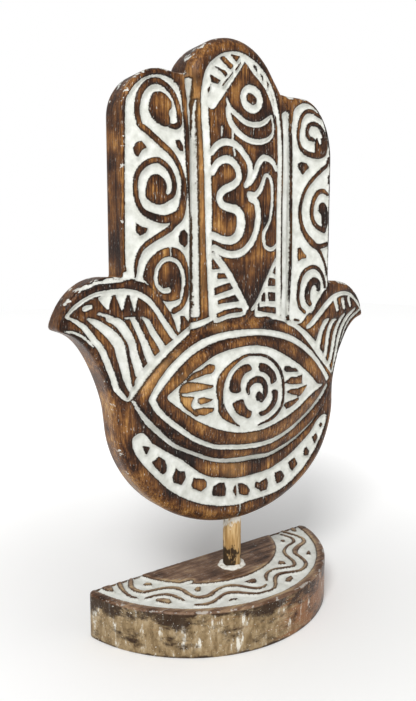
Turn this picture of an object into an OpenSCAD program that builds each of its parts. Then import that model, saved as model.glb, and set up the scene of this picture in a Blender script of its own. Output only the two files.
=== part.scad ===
// Carved wooden hamsa hand on a peg and a half-round foot.
// Millimetres, +Z up, the carved face looks along -Y.
// The origin is on the rest surface, under the middle of the whole ornament's box.

/* [Hand] */
// Height of the hand from the bottom of the palm to the tip of the middle finger
hand_h = 247; // [235:1:280]
// Thickness of the plank at the palm and the side fingers
hand_t = 19; // [17:0.5:26]
// Half the width of the palm
palm_half = 72.5; // [70:0.5:78]
// Height of the round lower part of the palm
palm_drop = 60; // [50:1:70]
// How far the palm's lowest point stands right of the middle, which fades out up to the thumbs
palm_lean = 4.5; // [-6:0.5:6]
// Half the width across the two side fingers
finger_half = 66.5; // [62:0.5:68]
// Height of the side fingers above the bottom of the palm
finger_top = 226; // [210:0.5:230]
// Width of a side finger's round shoulder
shoulder_w = 22; // [14:0.5:26]
// Height of the left finger's round shoulder
left_shoulder = 22; // [14:0.5:40]
// Height of the right finger's round shoulder
right_shoulder = 31; // [14:0.5:40]

/* [Thumbs] */
// Reach of a thumb's tip from the middle of the hand
thumb_reach = 98.5; // [92:0.5:108]
// Height of a thumb's tip
thumb_tip_h = 107.5; // [102:0.5:114]
// Height of a thumb's top edge
thumb_top_h = 131; // [124:0.5:136]
// How much lower the right thumb's top edge is than the left's
right_thumb_drop = 2.5; // [-4:0.5:6]

/* [Middle finger] */
// Half the width of the middle finger
mid_half = 31.5; // [28:0.5:33]
// Height of its round top
mid_arch_h = 35; // [26:0.5:40]
// How far its face stands before the side fingers
mid_raise = 3.5; // [1.5:0.25:5]
// Offset of its straight part from the middle of the hand
mid_shift = 3; // [-4:0.5:4]
// How far its tip leans sideways from the straight part
mid_lean = -7.5; // [-8:0.5:8]
// Height above which it leans
lean_from = 207; // [195:1:212]
// Height over which the lean builds up
lean_run = 28; // [20:1:40]
// Depth of the valley on each side of it
valley_d = 2.5; // [1:0.25:4]
// Width of the valley beside it
valley_w = 2.5; // [1:0.25:4]
// Height at which the valleys start
valley_from = 110; // [106:1:125]

/* [Rounding] */
// Round edge of the palm's face
palm_round = 7; // [3:0.25:8]
// Round edge of the side fingers and thumbs
finger_round = 2.5; // [1.5:0.25:3.5]
// Round edge of the middle finger
mid_round = 4; // [4:0.25:8]
// Round edge all round the back
back_round = 3.5; // [1:0.25:4]

/* [Eye] */
// Half the width of the raised eye
eye_half = 66; // [56:0.5:67]
// Rise of the upper lid above the corners
eye_up = 36; // [28:0.5:38]
// Drop of the lower lid below the corners
eye_down = 41; // [30:0.5:43]
// Height of the corners above the bottom of the palm
eye_h = 73; // [70:0.5:76]
// Height of the domed eye over the palm's face
eye_dome = 8.5; // [6:0.25:12]
// Height of the lid's outer step
lid_step = 2; // [1:0.25:3]
// Width of the lid outside its groove
lid_w = 7; // [5:0.25:8]
// Width of the groove in the lid
lid_groove = 4; // [2.5:0.25:5]
// Outer radius of the iris
iris_r = 23; // [18:0.5:25]
// Offset of the iris from the middle of the hand
iris_x = 6; // [-8:0.5:8]
// Offset of the iris below the corners
iris_drop = 2.5; // [-2:0.5:6]
// Width of the ring round the iris
iris_ring = 3; // [2:0.25:4]
// Width of the groove inside that ring
iris_groove = 3.5; // [2:0.25:4]
// Outer radius of the pupil's spiral
pupil_r = 9; // [7:0.5:10]
// Width of the spiral's groove
pupil_w = 2.5; // [1.5:0.25:3]
// Turns of the spiral
pupil_turns = 1.4; // [1:0.1:1.6]

/* [Smile band] */
// Height of the band's upper edge at the middle
smile_top = 26.5; // [25:0.5:29]
// Width of the band at the middle
smile_w = 14.5; // [11:0.5:15]
// Half the width between the band's tips
smile_half = 62; // [54:0.5:63]
// Height of the band's tips
smile_tip_h = 52; // [48:0.5:56]
// Number of raised blocks in the band
smile_blocks = 11; // [5:2:13]
// Width of a raised block
block_w = 5.5; // [3:0.25:6.5]
// Bare ground left above and below a block
block_gap = 3; // [1.5:0.25:4]
// Distance of the outermost blocks from the band's tips
block_end = 9; // [7:0.5:14]

/* [Carving] */
// Depth of the carved grooves and grounds
carve_d = 1.5; // [0.5:0.1:2]
// Width of the plain rim round a side finger's carved panel
panel_rim = 3; // [2.5:0.25:4.5]
// Height at which the panels start
panel_from = 112; // [108:1:125]
// Outer radius of a finger's spiral
spiral_r = 12.5; // [9:0.5:13]
// Width of a raised spiral ridge
spiral_w = 3; // [2:0.25:3.5]
// Number of spirals on each side finger
spiral_n = 3; // [1:1:3]
// Turns of a spiral
spiral_turns = 1.6; // [1:0.1:2]

/* [Middle finger's carving] */
// Distance of the carved frame from the finger's round edge
frame_gap = 2.5; // [2.25:0.25:4]
// Offset of the frame from the finger's centre line
frame_shift = -2; // [-2.5:0.25:0]
// Width of the frame's groove
frame_w = 3; // [2:0.25:3.25]
// Height of the middle of the sign above the bottom of the palm
sign_h = 169; // [167:0.5:171]
// Width of the sign's grooves
sign_w = 3.4; // [2.5:0.1:3.6]
// Height of the middle of the small ring above the sign
ring_h = 218.8; // [217:0.2:220]
// Outer radius of the small ring
ring_r = 7; // [5:0.25:7.5]
// Radius of the core left standing in the small ring
ring_core = 3; // [2:0.25:3.5]
// Height of the lower end of the two slanting lines below the sign
arch_tip_h = 116; // [115:0.5:118]

/* [Thumbs' carving] */
// Width of a thumb's grooves
stripe_w = 3; // [2:0.25:3.25]
// Distance of a groove's lower end from the lid
stripe_gap = 5; // [4:0.25:6]

/* [Peg] */
// Diameter of the peg
peg_d = 10; // [8:0.5:13]
// Bare length of the peg between foot and hand
peg_bare = 28.5; // [15:0.5:50]
// Depth of the hole in the hand
hand_hole = 25; // [15:0.5:40]
// Depth of the hole in the foot
base_hole = 15; // [8:0.5:18]
// Glue gap all round the peg
glue_gap = 0.05; // [0.02:0.01:0.3]
// Offset of the peg from the middle of the hand
peg_x = 3.5; // [-10:0.5:10]
// Offset of the peg behind the middle of the board
peg_set = 0.5; // [-1:0.25:1]
// Distance of the peg's axis from the straight back of the foot
peg_back = 19; // [14:0.5:26]

/* [Foot] */
// Radius of the foot's round front
base_r = 77.8; // [74:0.2:86]
// Depth of the foot from back to front
base_depth = 63.4; // [56:0.2:72]
// Thickness of the foot
base_t = 23.5; // [20:0.5:35]
// Round of the foot's two corners
base_corner = 4; // [2:0.5:8]
// Width of the plain outer rim
rim_w = 4.8; // [3:0.2:8]
// Width of the carved band inside the rim
band_w = 23.8; // [22:0.2:28]
// Depth of the carved band
band_d = 1.2; // [0.5:0.1:3]
// Number of waves in a full turn
wave_n = 12; // [6:2:18]
// Height of a wave from its middle line
wave_a = 4.4; // [2:0.1:5]
// Distance between the two waves
wave_gap = 6.6; // [6:0.1:8]
// Width of a raised wave
wave_w = 2.8; // [1.5:0.1:3.2]
// Width of the dots between the waves
dot_w = 3.6; // [2:0.1:4]

/* [Glue bead] */
// Width of the paint and glue bead round the peg
bead_w = 3.6; // [1.5:0.1:6]
// Height of the bead
bead_h = 1.6; // [0.8:0.1:4]

/* [Hidden] */
eps = 0.01;
fine = 96;
// Steps of a round edge, and sink of one solid of the hand into the next
round_steps = 4;
bite = 0.6;
// Angle between two points of a wave, and inner end of every spiral
wave_step = 2.5;
spiral_core = 2.2;
// Share of the eye's outline at which the middle finger ends, hidden inside the lid
lid_tuck = 0.84;

// Places that follow from the sizes above
base_back_y = base_depth / 2;
base_arc_y = base_r - base_depth / 2;
peg_y = base_back_y - peg_back;
hand_z = base_t + peg_bare;
face_y = peg_y - peg_set - hand_t / 2;
back_y = face_y + hand_t;
mid_face_y = face_y - mid_raise;
dome_y = face_y - eye_dome;
mid_spring = hand_h - mid_arch_h;
frame_half = mid_half - mid_round - frame_gap - abs(frame_shift);
iris_z = eye_h - iris_drop;

function unit(v) = v / norm(v);

function smooth(t) = let (c = max(0, min(1, t))) c * c * (3 - 2 * c);

// Points of an ellipse's arc between two angles
function arc(centre, a, b, t0, t1, n) =
    [for (i = [0:n]) let (t = t0 + (t1 - t0) * i / n) centre + [a * cos(t), b * sin(t)]];

function bezier(p, n) =
    [for (i = [0:n]) let (t = i / n, u = 1 - t)
        u * u * u * p[0] + 3 * u * u * t * p[1] + 3 * u * t * t * p[2] + t * t * t * p[3]];

function mirrored(p) = [for (i = [len(p) - 1:-1:0]) [-p[i][0], p[i][1]]];

// Outward normals of an outline that runs anticlockwise
function normals(p) = let (n = len(p))
    [for (i = [0:n - 1]) let (d = unit(p[(i + 1) % n] - p[(i + n - 1) % n])) [d[1], -d[0]]];

// Closed ribbon of width w along an open line of points
function ribbon(p, w) = let (
    n = len(p),
    side = [for (i = [0:n - 1]) let (d = unit(p[min(i + 1, n - 1)] - p[max(i - 1, 0)])) [-d[1], d[0]] * w / 2])
    concat([for (i = [0:n - 1]) p[i] + side[i]], [for (i = [n - 1:-1:0]) p[i] - side[i]]);

// Open spiral line from its outer end inwards
function spiral(r_out, r_in, turns, n) =
    [for (i = [0:n]) let (t = i / n, r = r_out + (r_in - r_out) * t, a = 360 * turns * t)
        [r * cos(a), r * sin(a)]];

// Closed solid through a stack of rings, with a centre point for each end, or with two flat ends
module skin(rings, first = undef, last = undef) {
    count = len(rings[0]);
    rows = len(rings);
    low = (rows - 1) * count;
    tip = rows * count;
    flat = is_undef(first);
    points = concat([for (r = rings) for (q = r) q], flat ? [] : [first, last]);
    walls = [for (k = [0:rows - 2]) for (i = [0:count - 1])
        let (a = k * count + i, b = k * count + (i + 1) % count, c = b + count, d = a + count)
        each [[a, b, c], [a, c, d]]];
    ends = flat ? [[for (i = [count - 1:-1:0]) i], [for (i = [0:count - 1]) low + i]]
        : [for (i = [0:count - 1]) let (j = (i + 1) % count) each [[j, i, tip], [low + i, low + j, tip + 1]]];
    polyhedron(points, concat(walls, ends));
}

// One ring of a rounded slab: its outline moved in by each point's own inset
function ring(p, n, inset, y) =
    [for (i = [0:len(p) - 1]) [p[i][0] - n[i][0] * inset[i], y[i], p[i][1] - n[i][1] * inset[i]]];

// Slab between the planes front and back, with the radius rf[i] on its front edge at
// the outline's point i and the radius rb on its back edge; heart is a point inside, from
// which the two faces fan out, and without it each is a single flat face
module slab(p, rf, rb, front, back, heart = undef) {
    n = normals(p);
    near = [for (k = [0:round_steps]) let (t = 90 * k / round_steps)
        ring(p, n, [for (r = rf) r * (1 - sin(t))], [for (r = rf) front + r * (1 - cos(t))])];
    far = [for (k = [0:round_steps]) let (t = 90 * k / round_steps)
        ring(p, n, [for (r = rf) rb * (1 - cos(t))], [for (r = rf) back - rb * (1 - sin(t))])];
    if (is_undef(heart)) skin(concat(near, far));
    else skin(concat(near, far), [heart[0], front, heart[1]], [heart[0], back, heart[1]]);
}

// Cuts a flat drawing into the hand's face, from in front down to the depth y
module carve(y) {
    translate([0, y, 0]) rotate([90, 0, 0]) linear_extrude(height = 3 * hand_t) children();
}

// Sideways place of the middle finger's centre line at height z
function mid_line(z) = mid_shift + mid_lean * smooth((z - lean_from) / lean_run);

// Half the width of the middle finger at height z
function mid_width(z) = z < mid_spring ? mid_half
    : mid_half * sqrt(max(0, 1 - pow((z - mid_spring) / mid_arch_h, 2)));

// Round top of the middle finger above height z, on the side s
function mid_top(s, z) = let (t0 = asin((z - mid_spring) / mid_arch_h))
    [for (q = arc([0, mid_spring], mid_half, mid_arch_h, t0, 90, 14)) [q[0] + s * mid_line(q[1]), q[1]]];

// Top edge of the thumb on the side s
function thumb_top(s) = thumb_top_h - (s > 0 ? right_thumb_drop : 0);

// Palm and underside of a thumb, from the bottom up
function palm_side() = concat(
    arc([0, palm_drop], palm_half, palm_drop, -90, 0, 18),
    bezier([[palm_half + 0.4, palm_drop + 8], [palm_half + 2, palm_drop + 20],
        [palm_half + 9, thumb_tip_h - 6], [thumb_reach - 4.5, thumb_tip_h - 1.5]], 10));

// One side of the hand's outline from the bottom up, measured outwards on the side s
function hand_side(s, shoulder) = concat(
    [for (q = palm_side()) [q[0] + s * palm_lean * (1 - smooth(q[1] / (thumb_tip_h - 1.5))), q[1]]],
    bezier([[thumb_reach, thumb_tip_h], [thumb_reach - 1, thumb_tip_h + 12],
        [thumb_reach - 12, thumb_top(s)], [finger_half + 5, thumb_top(s)]], 10),
    [[finger_half, thumb_top(s) - 0.5], [finger_half, thumb_top(s) + 6], [finger_half, thumb_top(s) + 30]],
    arc([finger_half - shoulder_w, finger_top - shoulder], shoulder_w, shoulder, 0, 90, 10),
    [[mid_half + 4 + s * mid_line(finger_top), finger_top - 0.5]],
    mid_top(s, finger_top));

// The whole hand as it is sawn from the board, with its edges rounded
module plank() {
    p = concat(hand_side(1, right_shoulder),
        [for (q = mirrored(hand_side(-1, left_shoulder))) if (q[1] > eps && q[1] < hand_h - eps) q]);
    low = palm_drop;
    rf = [for (q = p) palm_round + (finger_round - palm_round) * smooth((q[1] - low) / (thumb_tip_h - low))];
    slab(p, rf, back_round, face_y, back_y, [0, thumb_tip_h]);
}

// Almond between two parabolas, anticlockwise from its left corner
function almond(n) = concat(
    [for (i = [0:n - 1]) let (u = -1 + 2 * i / n) [eye_half * u, -eye_down * (1 - u * u)]],
    [for (i = [0:n - 1]) let (u = 1 - 2 * i / n) [eye_half * u, eye_up * (1 - u * u)]]);

// Raised face of the middle finger, which ends under the eye's upper lid
module middle_finger() {
    function side(s) = concat(
        [for (z = [eye_h + 15:20:mid_spring - 5]) [mid_half + s * mid_line(z), z]], mid_top(s, mid_spring));
    p = concat(side(1), [for (q = mirrored(side(-1))) if (q[1] < hand_h - eps) q]);
    n = normals(p);
    inner = [for (i = [0:len(p) - 1]) p[i] - bite / 2 * n[i]];
    difference() {
        slab(inner, [for (q = p) mid_round], bite, mid_face_y, mid_face_y + mid_round + 2 * bite);
        carve(back_y) translate([0, eye_h]) scale(lid_tuck) polygon(almond(20));
    }
}

// V groove beside the middle finger, on the side s
module valley(s) {
    rings = [for (z = [valley_from:9:finger_top + 9]) let (x = mid_line(z) + s * mid_width(z))
        [[x + s * valley_w, face_y - eps, z], [x - s * mid_round, face_y - eps, z], [x, face_y + valley_d, z]]];
    tip = len(rings) - 1;
    first = (rings[0][0] + rings[0][1] + rings[0][2]) / 3;
    last = (rings[tip][0] + rings[tip][1] + rings[tip][2]) / 3;
    if (s > 0) skin(rings, first, last);
    else skin([for (r = rings) [r[1], r[0], r[2]]], first, last);
}

// Depth of the eye's surface in the almond that is s times as large as the whole eye
function eye_y(s) = face_y - lid_step - (eye_dome - lid_step) * (1 - s * s);

// Domed almond with a groove that runs round inside the lid
module eye() {
    p = almond(20);
    lid_in = 1 - lid_w / eye_up;
    groove_in = 1 - (lid_w + lid_groove) / eye_up;
    wall = 0.01;
    profile = [[0.15, 0], [0.4, 0], [groove_in - wall, 0], [groove_in, carve_d], [lid_in - wall, carve_d],
        [lid_in, 0], [0.98, 0]];
    rings = concat(
        [for (c = profile) [for (q = p) [q[0] * c[0], eye_y(c[0]) + c[1], q[1] * c[0] + eye_h]]],
        [[for (q = p) [q[0], face_y - lid_step / 2, q[1] + eye_h]],
        [for (q = p) [q[0], face_y + bite, q[1] + eye_h]]]);
    skin(rings, [0, dome_y, eye_h], [0, face_y + bite, eye_h]);
}

// Round groove and spiral of the iris
module iris_lines() {
    translate([iris_x, iris_z]) {
        difference() {
            circle(r = iris_r - iris_ring, $fn = fine);
            circle(r = iris_r - iris_ring - iris_groove, $fn = fine);
        }
        polygon(ribbon(spiral(pupil_r, spiral_core, pupil_turns, 26), pupil_w));
    }
}

// Lower edge of a band of height h at the middle, and tips at the smile's tips
function smile_z(x, h) = h + (smile_tip_h - h) * pow(x / smile_half, 2);

// Crescent below the eye with a row of raised blocks
module smile_band() {
    n = 36;
    low = smile_top - smile_w;
    difference() {
        polygon(concat(
            [for (i = [0:n - 1]) let (x = smile_half * (-1 + 2 * i / n)) [x, smile_z(x, low)]],
            [for (i = [0:n - 1]) let (x = smile_half * (1 - 2 * i / n)) [x, smile_z(x, smile_top)]]));
        for (i = [0:smile_blocks - 1]) {
            x = (smile_half - block_end) * (-1 + 2 * i / (smile_blocks - 1));
            bottom = smile_z(x, low) + block_gap;
            top = smile_z(x, smile_top) - block_gap;
            slope = 2 * (smile_tip_h - smile_top) * x / smile_half / smile_half;
            if (top > bottom)
                translate([x, (bottom + top) / 2]) rotate(atan(slope))
                    square([block_w, top - bottom], center = true);
        }
    }
}

// Sunk ground of a side finger, on the side s, with its raised spirals
module finger_panel(s) {
    shoulder = s > 0 ? right_shoulder : left_shoulder;
    out = finger_half - panel_rim;
    top = finger_top - panel_rim;
    rim_in = valley_w + panel_rim;
    inner = [for (z = [top - 6:-9:panel_from]) [s * (mid_width(z) + rim_in) + mid_line(z), z]];
    centre_x = s * (out + mid_half + rim_in) / 2 + mid_shift / 2;
    pitch = (top - panel_from) / spiral_n;
    difference() {
        polygon(concat(
            [for (q = arc([out - shoulder_w + panel_rim, top - shoulder], shoulder_w - panel_rim, shoulder,
                0, 90, 12)) [s * q[0], q[1]]],
            [[s * (mid_half + rim_in + 5) + mid_line(top), top]], inner,
            [[s * (out - 4), panel_from + 12], [s * out, panel_from + 22]]));
        for (i = [0:spiral_n - 1])
            translate([centre_x, top - pitch * (i + 0.5)]) rotate(i % 2 == 0 ? 200 : 20)
                polygon(ribbon(spiral(spiral_r - spiral_w / 2, spiral_core, s * spiral_turns, 24), spiral_w));
    }
}

// Line of the frame's groove up one side of the middle finger, over its top and down the other
function frame_line() = let (half = frame_half, rise = mid_arch_h - mid_round - frame_gap - 1, low = eye_h + eye_up + 5)
    concat(
        [for (z = [low, lean_from, mid_spring]) [mid_line(z) + frame_shift + half, z]],
        [for (q = arc([0, mid_spring], half, rise, 12, 168, 14)) [q[0] + mid_line(q[1]) + frame_shift, q[1]]],
        [for (z = [mid_spring, lean_from, low]) [mid_line(z) + frame_shift - half, z]]);

// Grooves of the sign, about its own middle
module sign_lines() {
    polygon(ribbon(concat(arc([-13.5, 11.5], 7.5, 7.5, 150, -100, 14), [[-18, 0.3]],
        arc([-13, -12.5], 8.8, 8.8, 100, -110, 14)), sign_w));
    polygon(ribbon(arc([-12, 13.5], 13.3, 13.3, 125, -25, 14), sign_w));
    polygon(ribbon(arc([-10, -11.5], 15.5, 15.5, 35, -122, 14), sign_w));
    polygon(ribbon(bezier([[3.5, 13], [6, 18], [7, 22.5], [15.5, 21.5]], 8), sign_w));
    polygon(ribbon(concat(bezier([[1, 3], [7, 2], [9, 15], [13, 13.5]], 8),
        bezier([[15.5, 11.5], [17.5, 5], [16, -6], [12, -13]], 8),
        bezier([[10.5, -16], [9, -20], [11.5, -24], [16, -23.7]], 6)), sign_w * 0.75));
}

// Small ring, the two bows under it and the two slants over it, about the ring's middle
module ring_lines() {
    difference() {
        circle(r = ring_r, $fn = fine);
        circle(r = ring_core, $fn = fine);
    }
    polygon(ribbon(arc([0, 6], 18.3, 18.3, 222, 315, 10), sign_w * 0.8));
    polygon(ribbon(arc([0, 0], 19.5, 19.5, 215, 310, 10), sign_w));
    polygon(ribbon([[-21.5, -2], [-8.5, 14.7]], sign_w * 0.9));
    polygon(ribbon([[0, 16], [13.3, 0.2]], sign_w * 0.7));
}

// Everything cut into the middle finger: its frame, the sign, the ring and a pointed arch
module finger_lines() {
    narrow = frame_half / 23;
    polygon(ribbon(frame_line(), frame_w));
    translate([mid_shift, sign_h]) scale([narrow, 1]) sign_lines();
    translate([mid_shift + 1.5, ring_h]) scale([narrow, 1]) ring_lines();
    translate([mid_shift, arch_tip_h]) scale([narrow, 1]) {
        polygon(ribbon([[-18.5, 23], [-1.5, 0.5]], sign_w * 0.8));
        polygon(ribbon([[16.5, 20.5], [3.5, 0]], sign_w * 0.6));
    }
}

// Height of the eye's upper edge at the place x
function lid_z(x) = eye_h + eye_up * max(0, 1 - pow(x / eye_half, 2));

// Grooves of a thumb, on the side s: four stripes that start near its tip's height, and one under its top edge
module thumb_lines(s) {
    wide = thumb_reach / 98.5;
    top = thumb_tip_h + 1;
    for (p = [[88, 79, 74.5, 69.5], [80, 70, 68, 65], [71, 63, 62.5, 60], [62, 57, 55, 53.5]]) {
        low = lid_z(p[3] * wide) + stripe_gap + (74.5 - p[3]) / 8;
        line = bezier([[p[0], top], [p[1], top - 8], [p[2], low + (top - low) * 0.35], [p[3], low]], 8);
        scale([s * wide, 1]) polygon(ribbon(line, stripe_w));
    }
    edge = bezier([[66.5, thumb_top(s) - 6.2], [76, thumb_top(s) - 4], [86, thumb_top(s) - 8],
        [92, thumb_tip_h + 6.5]], 8);
    scale([s * wide, 1]) polygon(ribbon(edge, stripe_w * 0.9));
}

module hand_block() {
    difference() {
        plank();
        for (s = [-1, 1]) {
            valley(s);
            carve(face_y + carve_d) finger_panel(s);
            carve(face_y + carve_d) thumb_lines(s);
        }
        carve(face_y + carve_d) smile_band();
    }
    difference() {
        middle_finger();
        carve(mid_face_y + carve_d) finger_lines();
    }
    difference() {
        eye();
        carve(eye_y(0.5) + carve_d) iris_lines();
    }
}

module hand() {
    color("#6e4423")
    difference() {
        translate([0, 0, hand_z]) hand_block();
        translate([peg_x, peg_y, hand_z - eps])
            cylinder(d = peg_d + 2 * glue_gap, h = hand_hole + eps, $fn = fine);
    }
}

module peg() {
    color("#b89a6c")
    translate([peg_x, peg_y, base_t - base_hole])
        cylinder(d = peg_d, h = base_hole + peg_bare + hand_hole, $fn = fine);
}

// Point of the foot at the radius r and at the angle t from the front
function foot_point(r, t) = [r * sin(t), base_arc_y - r * cos(t)];

// Round front, straight back and two round corners
function foot_outline() = let (
    rc = base_corner,
    span = acos((base_arc_y - base_back_y + rc) / (base_r - rc)),
    corner = [(base_r - rc) * sin(span), base_back_y - rc],
    right = arc(corner, rc, rc, span - 90, 90, 6))
    concat([for (i = [1:47]) foot_point(base_r, span * (i / 24 - 1))], right, mirrored(right));

function wave_r(mid, t) = mid + wave_a * cos(wave_n * t);

// Sunk band of the foot with two raised waves and the dots in their bays
module wave_band() {
    r_out = base_r - rim_w;
    r_in = r_out - band_w;
    mid = (r_in + r_out) / 2;
    angles = [-90:wave_step:90];
    pitch = 360 / wave_n;
    reach = floor(90 / pitch);
    dot_in = (r_in + mid - wave_gap / 2 + wave_a) / 2 - wave_w / 4;
    dot_out = (r_out + mid + wave_gap / 2 - wave_a) / 2 + wave_w / 4;
    difference() {
        polygon(concat([for (t = angles) foot_point(r_out, t)],
            [for (t = angles) foot_point(r_in, -t)]));
        for (side = [-1, 1])
            polygon(ribbon([for (t = angles) foot_point(wave_r(mid + side * wave_gap / 2, t), t)], wave_w));
        for (i = [-reach:reach])
            translate(foot_point(dot_in, i * pitch)) circle(d = dot_w, $fn = 24);
        for (i = [-reach:reach - 1])
            translate(foot_point(dot_out, (i + 0.5) * pitch)) circle(d = dot_w, $fn = 24);
    }
}

module base() {
    color("#b59a6a")
    difference() {
        linear_extrude(height = base_t) polygon(foot_outline());
        translate([0, 0, base_t - band_d]) linear_extrude(height = base_t) wave_band();
        translate([peg_x, peg_y, base_t - base_hole])
            cylinder(d = peg_d + 2 * glue_gap, h = base_t, $fn = fine);
    }
}

// Ring of glue and white paint where the peg meets the foot
module glue_bead() {
    inner = peg_d / 2 + glue_gap;
    color("#e4e2d8")
    translate([peg_x, peg_y, base_t])
        rotate_extrude($fn = fine)
            polygon([[inner, 0], [inner + bead_w, 0], [inner + bead_w * 0.7, bead_h * 0.6],
                [inner + bead_w * 0.3, bead_h * 0.9], [inner, bead_h]]);
}

hand();
peg();
base();
glue_bead();
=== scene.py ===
"""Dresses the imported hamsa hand: the carved board, its half-round foot, the peg and the bead of glue.

Lengths are millimetres here and turn to metres where a mesh is made. The carving is drawn on
the hand's own plane: across is X, and up is the height over the bottom of the palm.
"""

import logging
from collections.abc import Callable
from dataclasses import dataclass
from enum import Enum

import bpy
import numpy as np
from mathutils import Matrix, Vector
from mathutils.geometry import delaunay_2d_cdt


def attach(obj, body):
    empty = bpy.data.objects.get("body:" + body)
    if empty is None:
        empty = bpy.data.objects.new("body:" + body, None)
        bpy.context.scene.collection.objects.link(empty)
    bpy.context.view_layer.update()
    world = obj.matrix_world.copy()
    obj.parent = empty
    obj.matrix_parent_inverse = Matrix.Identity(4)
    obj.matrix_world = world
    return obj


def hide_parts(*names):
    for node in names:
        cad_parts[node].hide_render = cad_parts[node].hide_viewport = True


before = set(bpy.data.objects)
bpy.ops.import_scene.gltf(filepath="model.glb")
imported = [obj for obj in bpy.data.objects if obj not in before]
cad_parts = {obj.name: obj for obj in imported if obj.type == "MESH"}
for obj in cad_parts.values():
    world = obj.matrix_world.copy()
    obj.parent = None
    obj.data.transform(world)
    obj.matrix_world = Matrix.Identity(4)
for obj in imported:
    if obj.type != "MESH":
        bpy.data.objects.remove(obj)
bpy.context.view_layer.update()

LOG = logging.getLogger("hamsa")
MM = 0.001
# The carving's distances are only followed this far from an edge
REACH = 4.0
# More than half the widest stroke, and than a smooth line swings out between its points
SLACK = 3.0
# Most pairs of a place and a line's span that are worked on at once
BATCH = 2_000_000


def smooth(t: np.ndarray) -> np.ndarray:
    """Soft step from 0 to 1: t squared times three less two t, with t held between 0 and 1."""
    c = np.clip(t, 0.0, 1.0)
    return c * c * (3.0 - 2.0 * c)


def rise(value: np.ndarray, start: float, end: float) -> np.ndarray:
    """Soft step from 0 where the value is at start to 1 where it is at end."""
    return smooth((value - start) / (end - start))


def curve(points: np.ndarray, closed: bool, steps: int = 5) -> np.ndarray:
    """Carries a smooth line through points, by the cubic that takes its slope from both neighbours.

    Args:
        points: the points, one a row.
        closed: whether the last point joins the first.
        steps: points made for each span.

    Returns:
        The points of the line, one a row.
    """
    if closed:
        before, start, end, after = (np.roll(points, k, axis=0) for k in (1, 0, -1, -2))
    else:
        padded = np.vstack([2 * points[0] - points[1], points, 2 * points[-1] - points[-2]])
        before, start, end, after = padded[:-3], padded[1:-2], padded[2:-1], padded[3:]
    t = (np.arange(steps) / steps)[None, :, None]
    b, s, e, a = (p[:, None, :] for p in (before, start, end, after))
    bend = (2 * b - 5 * s + 4 * e - a) * t**2
    twist = (3 * s - b - 3 * e + a) * t**3
    line = (0.5 * (2 * s + (e - b) * t + bend + twist)).reshape(-1, points.shape[1])
    return line if closed else np.vstack([line, points[-1]])


def resample(line: np.ndarray, spacing: float) -> np.ndarray:
    """Spreads points evenly along a closed line.

    Args:
        line: the closed line's points, one a row.
        spacing: the wanted distance between two points.

    Returns:
        The evenly spaced points.
    """
    loop = np.vstack([line, line[:1]])
    run = np.concatenate([[0.0], np.cumsum(np.hypot(*np.diff(loop, axis=0).T))])
    at = np.linspace(0.0, run[-1], max(8, round(run[-1] / spacing)), endpoint=False)
    return np.stack([np.interp(at, run, loop[:, k]) for k in (0, 1)], axis=1)


def softened(line: np.ndarray, reach: float, spacing: float = 0.25) -> np.ndarray:
    """Rounds the corners of a closed line with a bell-shaped average over the distance reach."""
    fine = resample(line, spacing)
    offsets = np.arange(-int(3 * reach / spacing), int(3 * reach / spacing) + 1)
    weight = np.exp(-0.5 * (offsets * spacing / reach) ** 2)
    weight /= weight.sum()
    rows = (np.arange(len(fine))[:, None] + offsets[None, :]) % len(fine)
    return np.einsum("nkc,k->nc", fine[rows], weight)


def outward(line: np.ndarray) -> np.ndarray:
    """Unit normals of a closed line that runs anticlockwise, pointing out of it."""
    along = np.roll(line, -1, axis=0) - np.roll(line, 1, axis=0)
    along /= np.hypot(*along.T)[:, None]
    return np.stack([along[:, 1], -along[:, 0]], axis=1)


def line_distance(where: np.ndarray, line: np.ndarray, closed: bool) -> np.ndarray:
    """Distance from places to a line, less half the line's width where it has one.

    Args:
        where: the places, one a row.
        line: the line's points; a third number in each row is the line's width there.
        closed: whether the last point joins the first.

    Returns:
        One distance for each place.
    """
    ends = np.roll(line, -1, axis=0) if closed else line[1:]
    starts = line if closed else line[:-1]
    span = ends[:, :2] - starts[:, :2]
    length2 = np.maximum((span**2).sum(axis=1), 1e-9)
    widths = (starts[:, 2], ends[:, 2]) if line.shape[1] > 2 else (0.0 * length2, 0.0 * length2)
    best = np.full(len(where), np.inf)
    for rows in np.array_split(np.arange(len(where)), len(where) * len(span) // BATCH + 1):
        rel = where[rows, None, :] - starts[None, :, :2]
        t = np.clip((rel * span).sum(axis=2) / length2, 0.0, 1.0)
        gap = np.hypot(rel[:, :, 0] - t * span[:, 0], rel[:, :, 1] - t * span[:, 1])
        best[rows] = (gap - (widths[0] + (widths[1] - widths[0]) * t) / 2).min(axis=1)
    return best


def inside(where: np.ndarray, loop: np.ndarray) -> np.ndarray:
    """Whether each place is inside a closed line, by counting the edges to the right of it."""
    nxt = np.roll(loop, -1, axis=0)
    odd = np.zeros(len(where), bool)
    for rows in np.array_split(np.arange(len(where)), len(where) * len(loop) // BATCH + 1):
        x, y = where[rows, 0][:, None], where[rows, 1][:, None]
        spans = (loop[:, 1] > y) != (nxt[:, 1] > y)
        rise = np.where(nxt[:, 1] == loop[:, 1], 1e-9, nxt[:, 1] - loop[:, 1])
        cross = x < (nxt[:, 0] - loop[:, 0]) * (y - loop[:, 1]) / rise + loop[:, 0]
        odd[rows] = (spans & cross).sum(axis=1) % 2 == 1
    return odd


def loop_distance(where: np.ndarray, loop: np.ndarray) -> np.ndarray:
    """Distance from places to a closed line, negative inside it."""
    gap = line_distance(where, loop[:, :2], closed=True)
    return np.where(inside(where, loop), -gap, gap)


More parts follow.
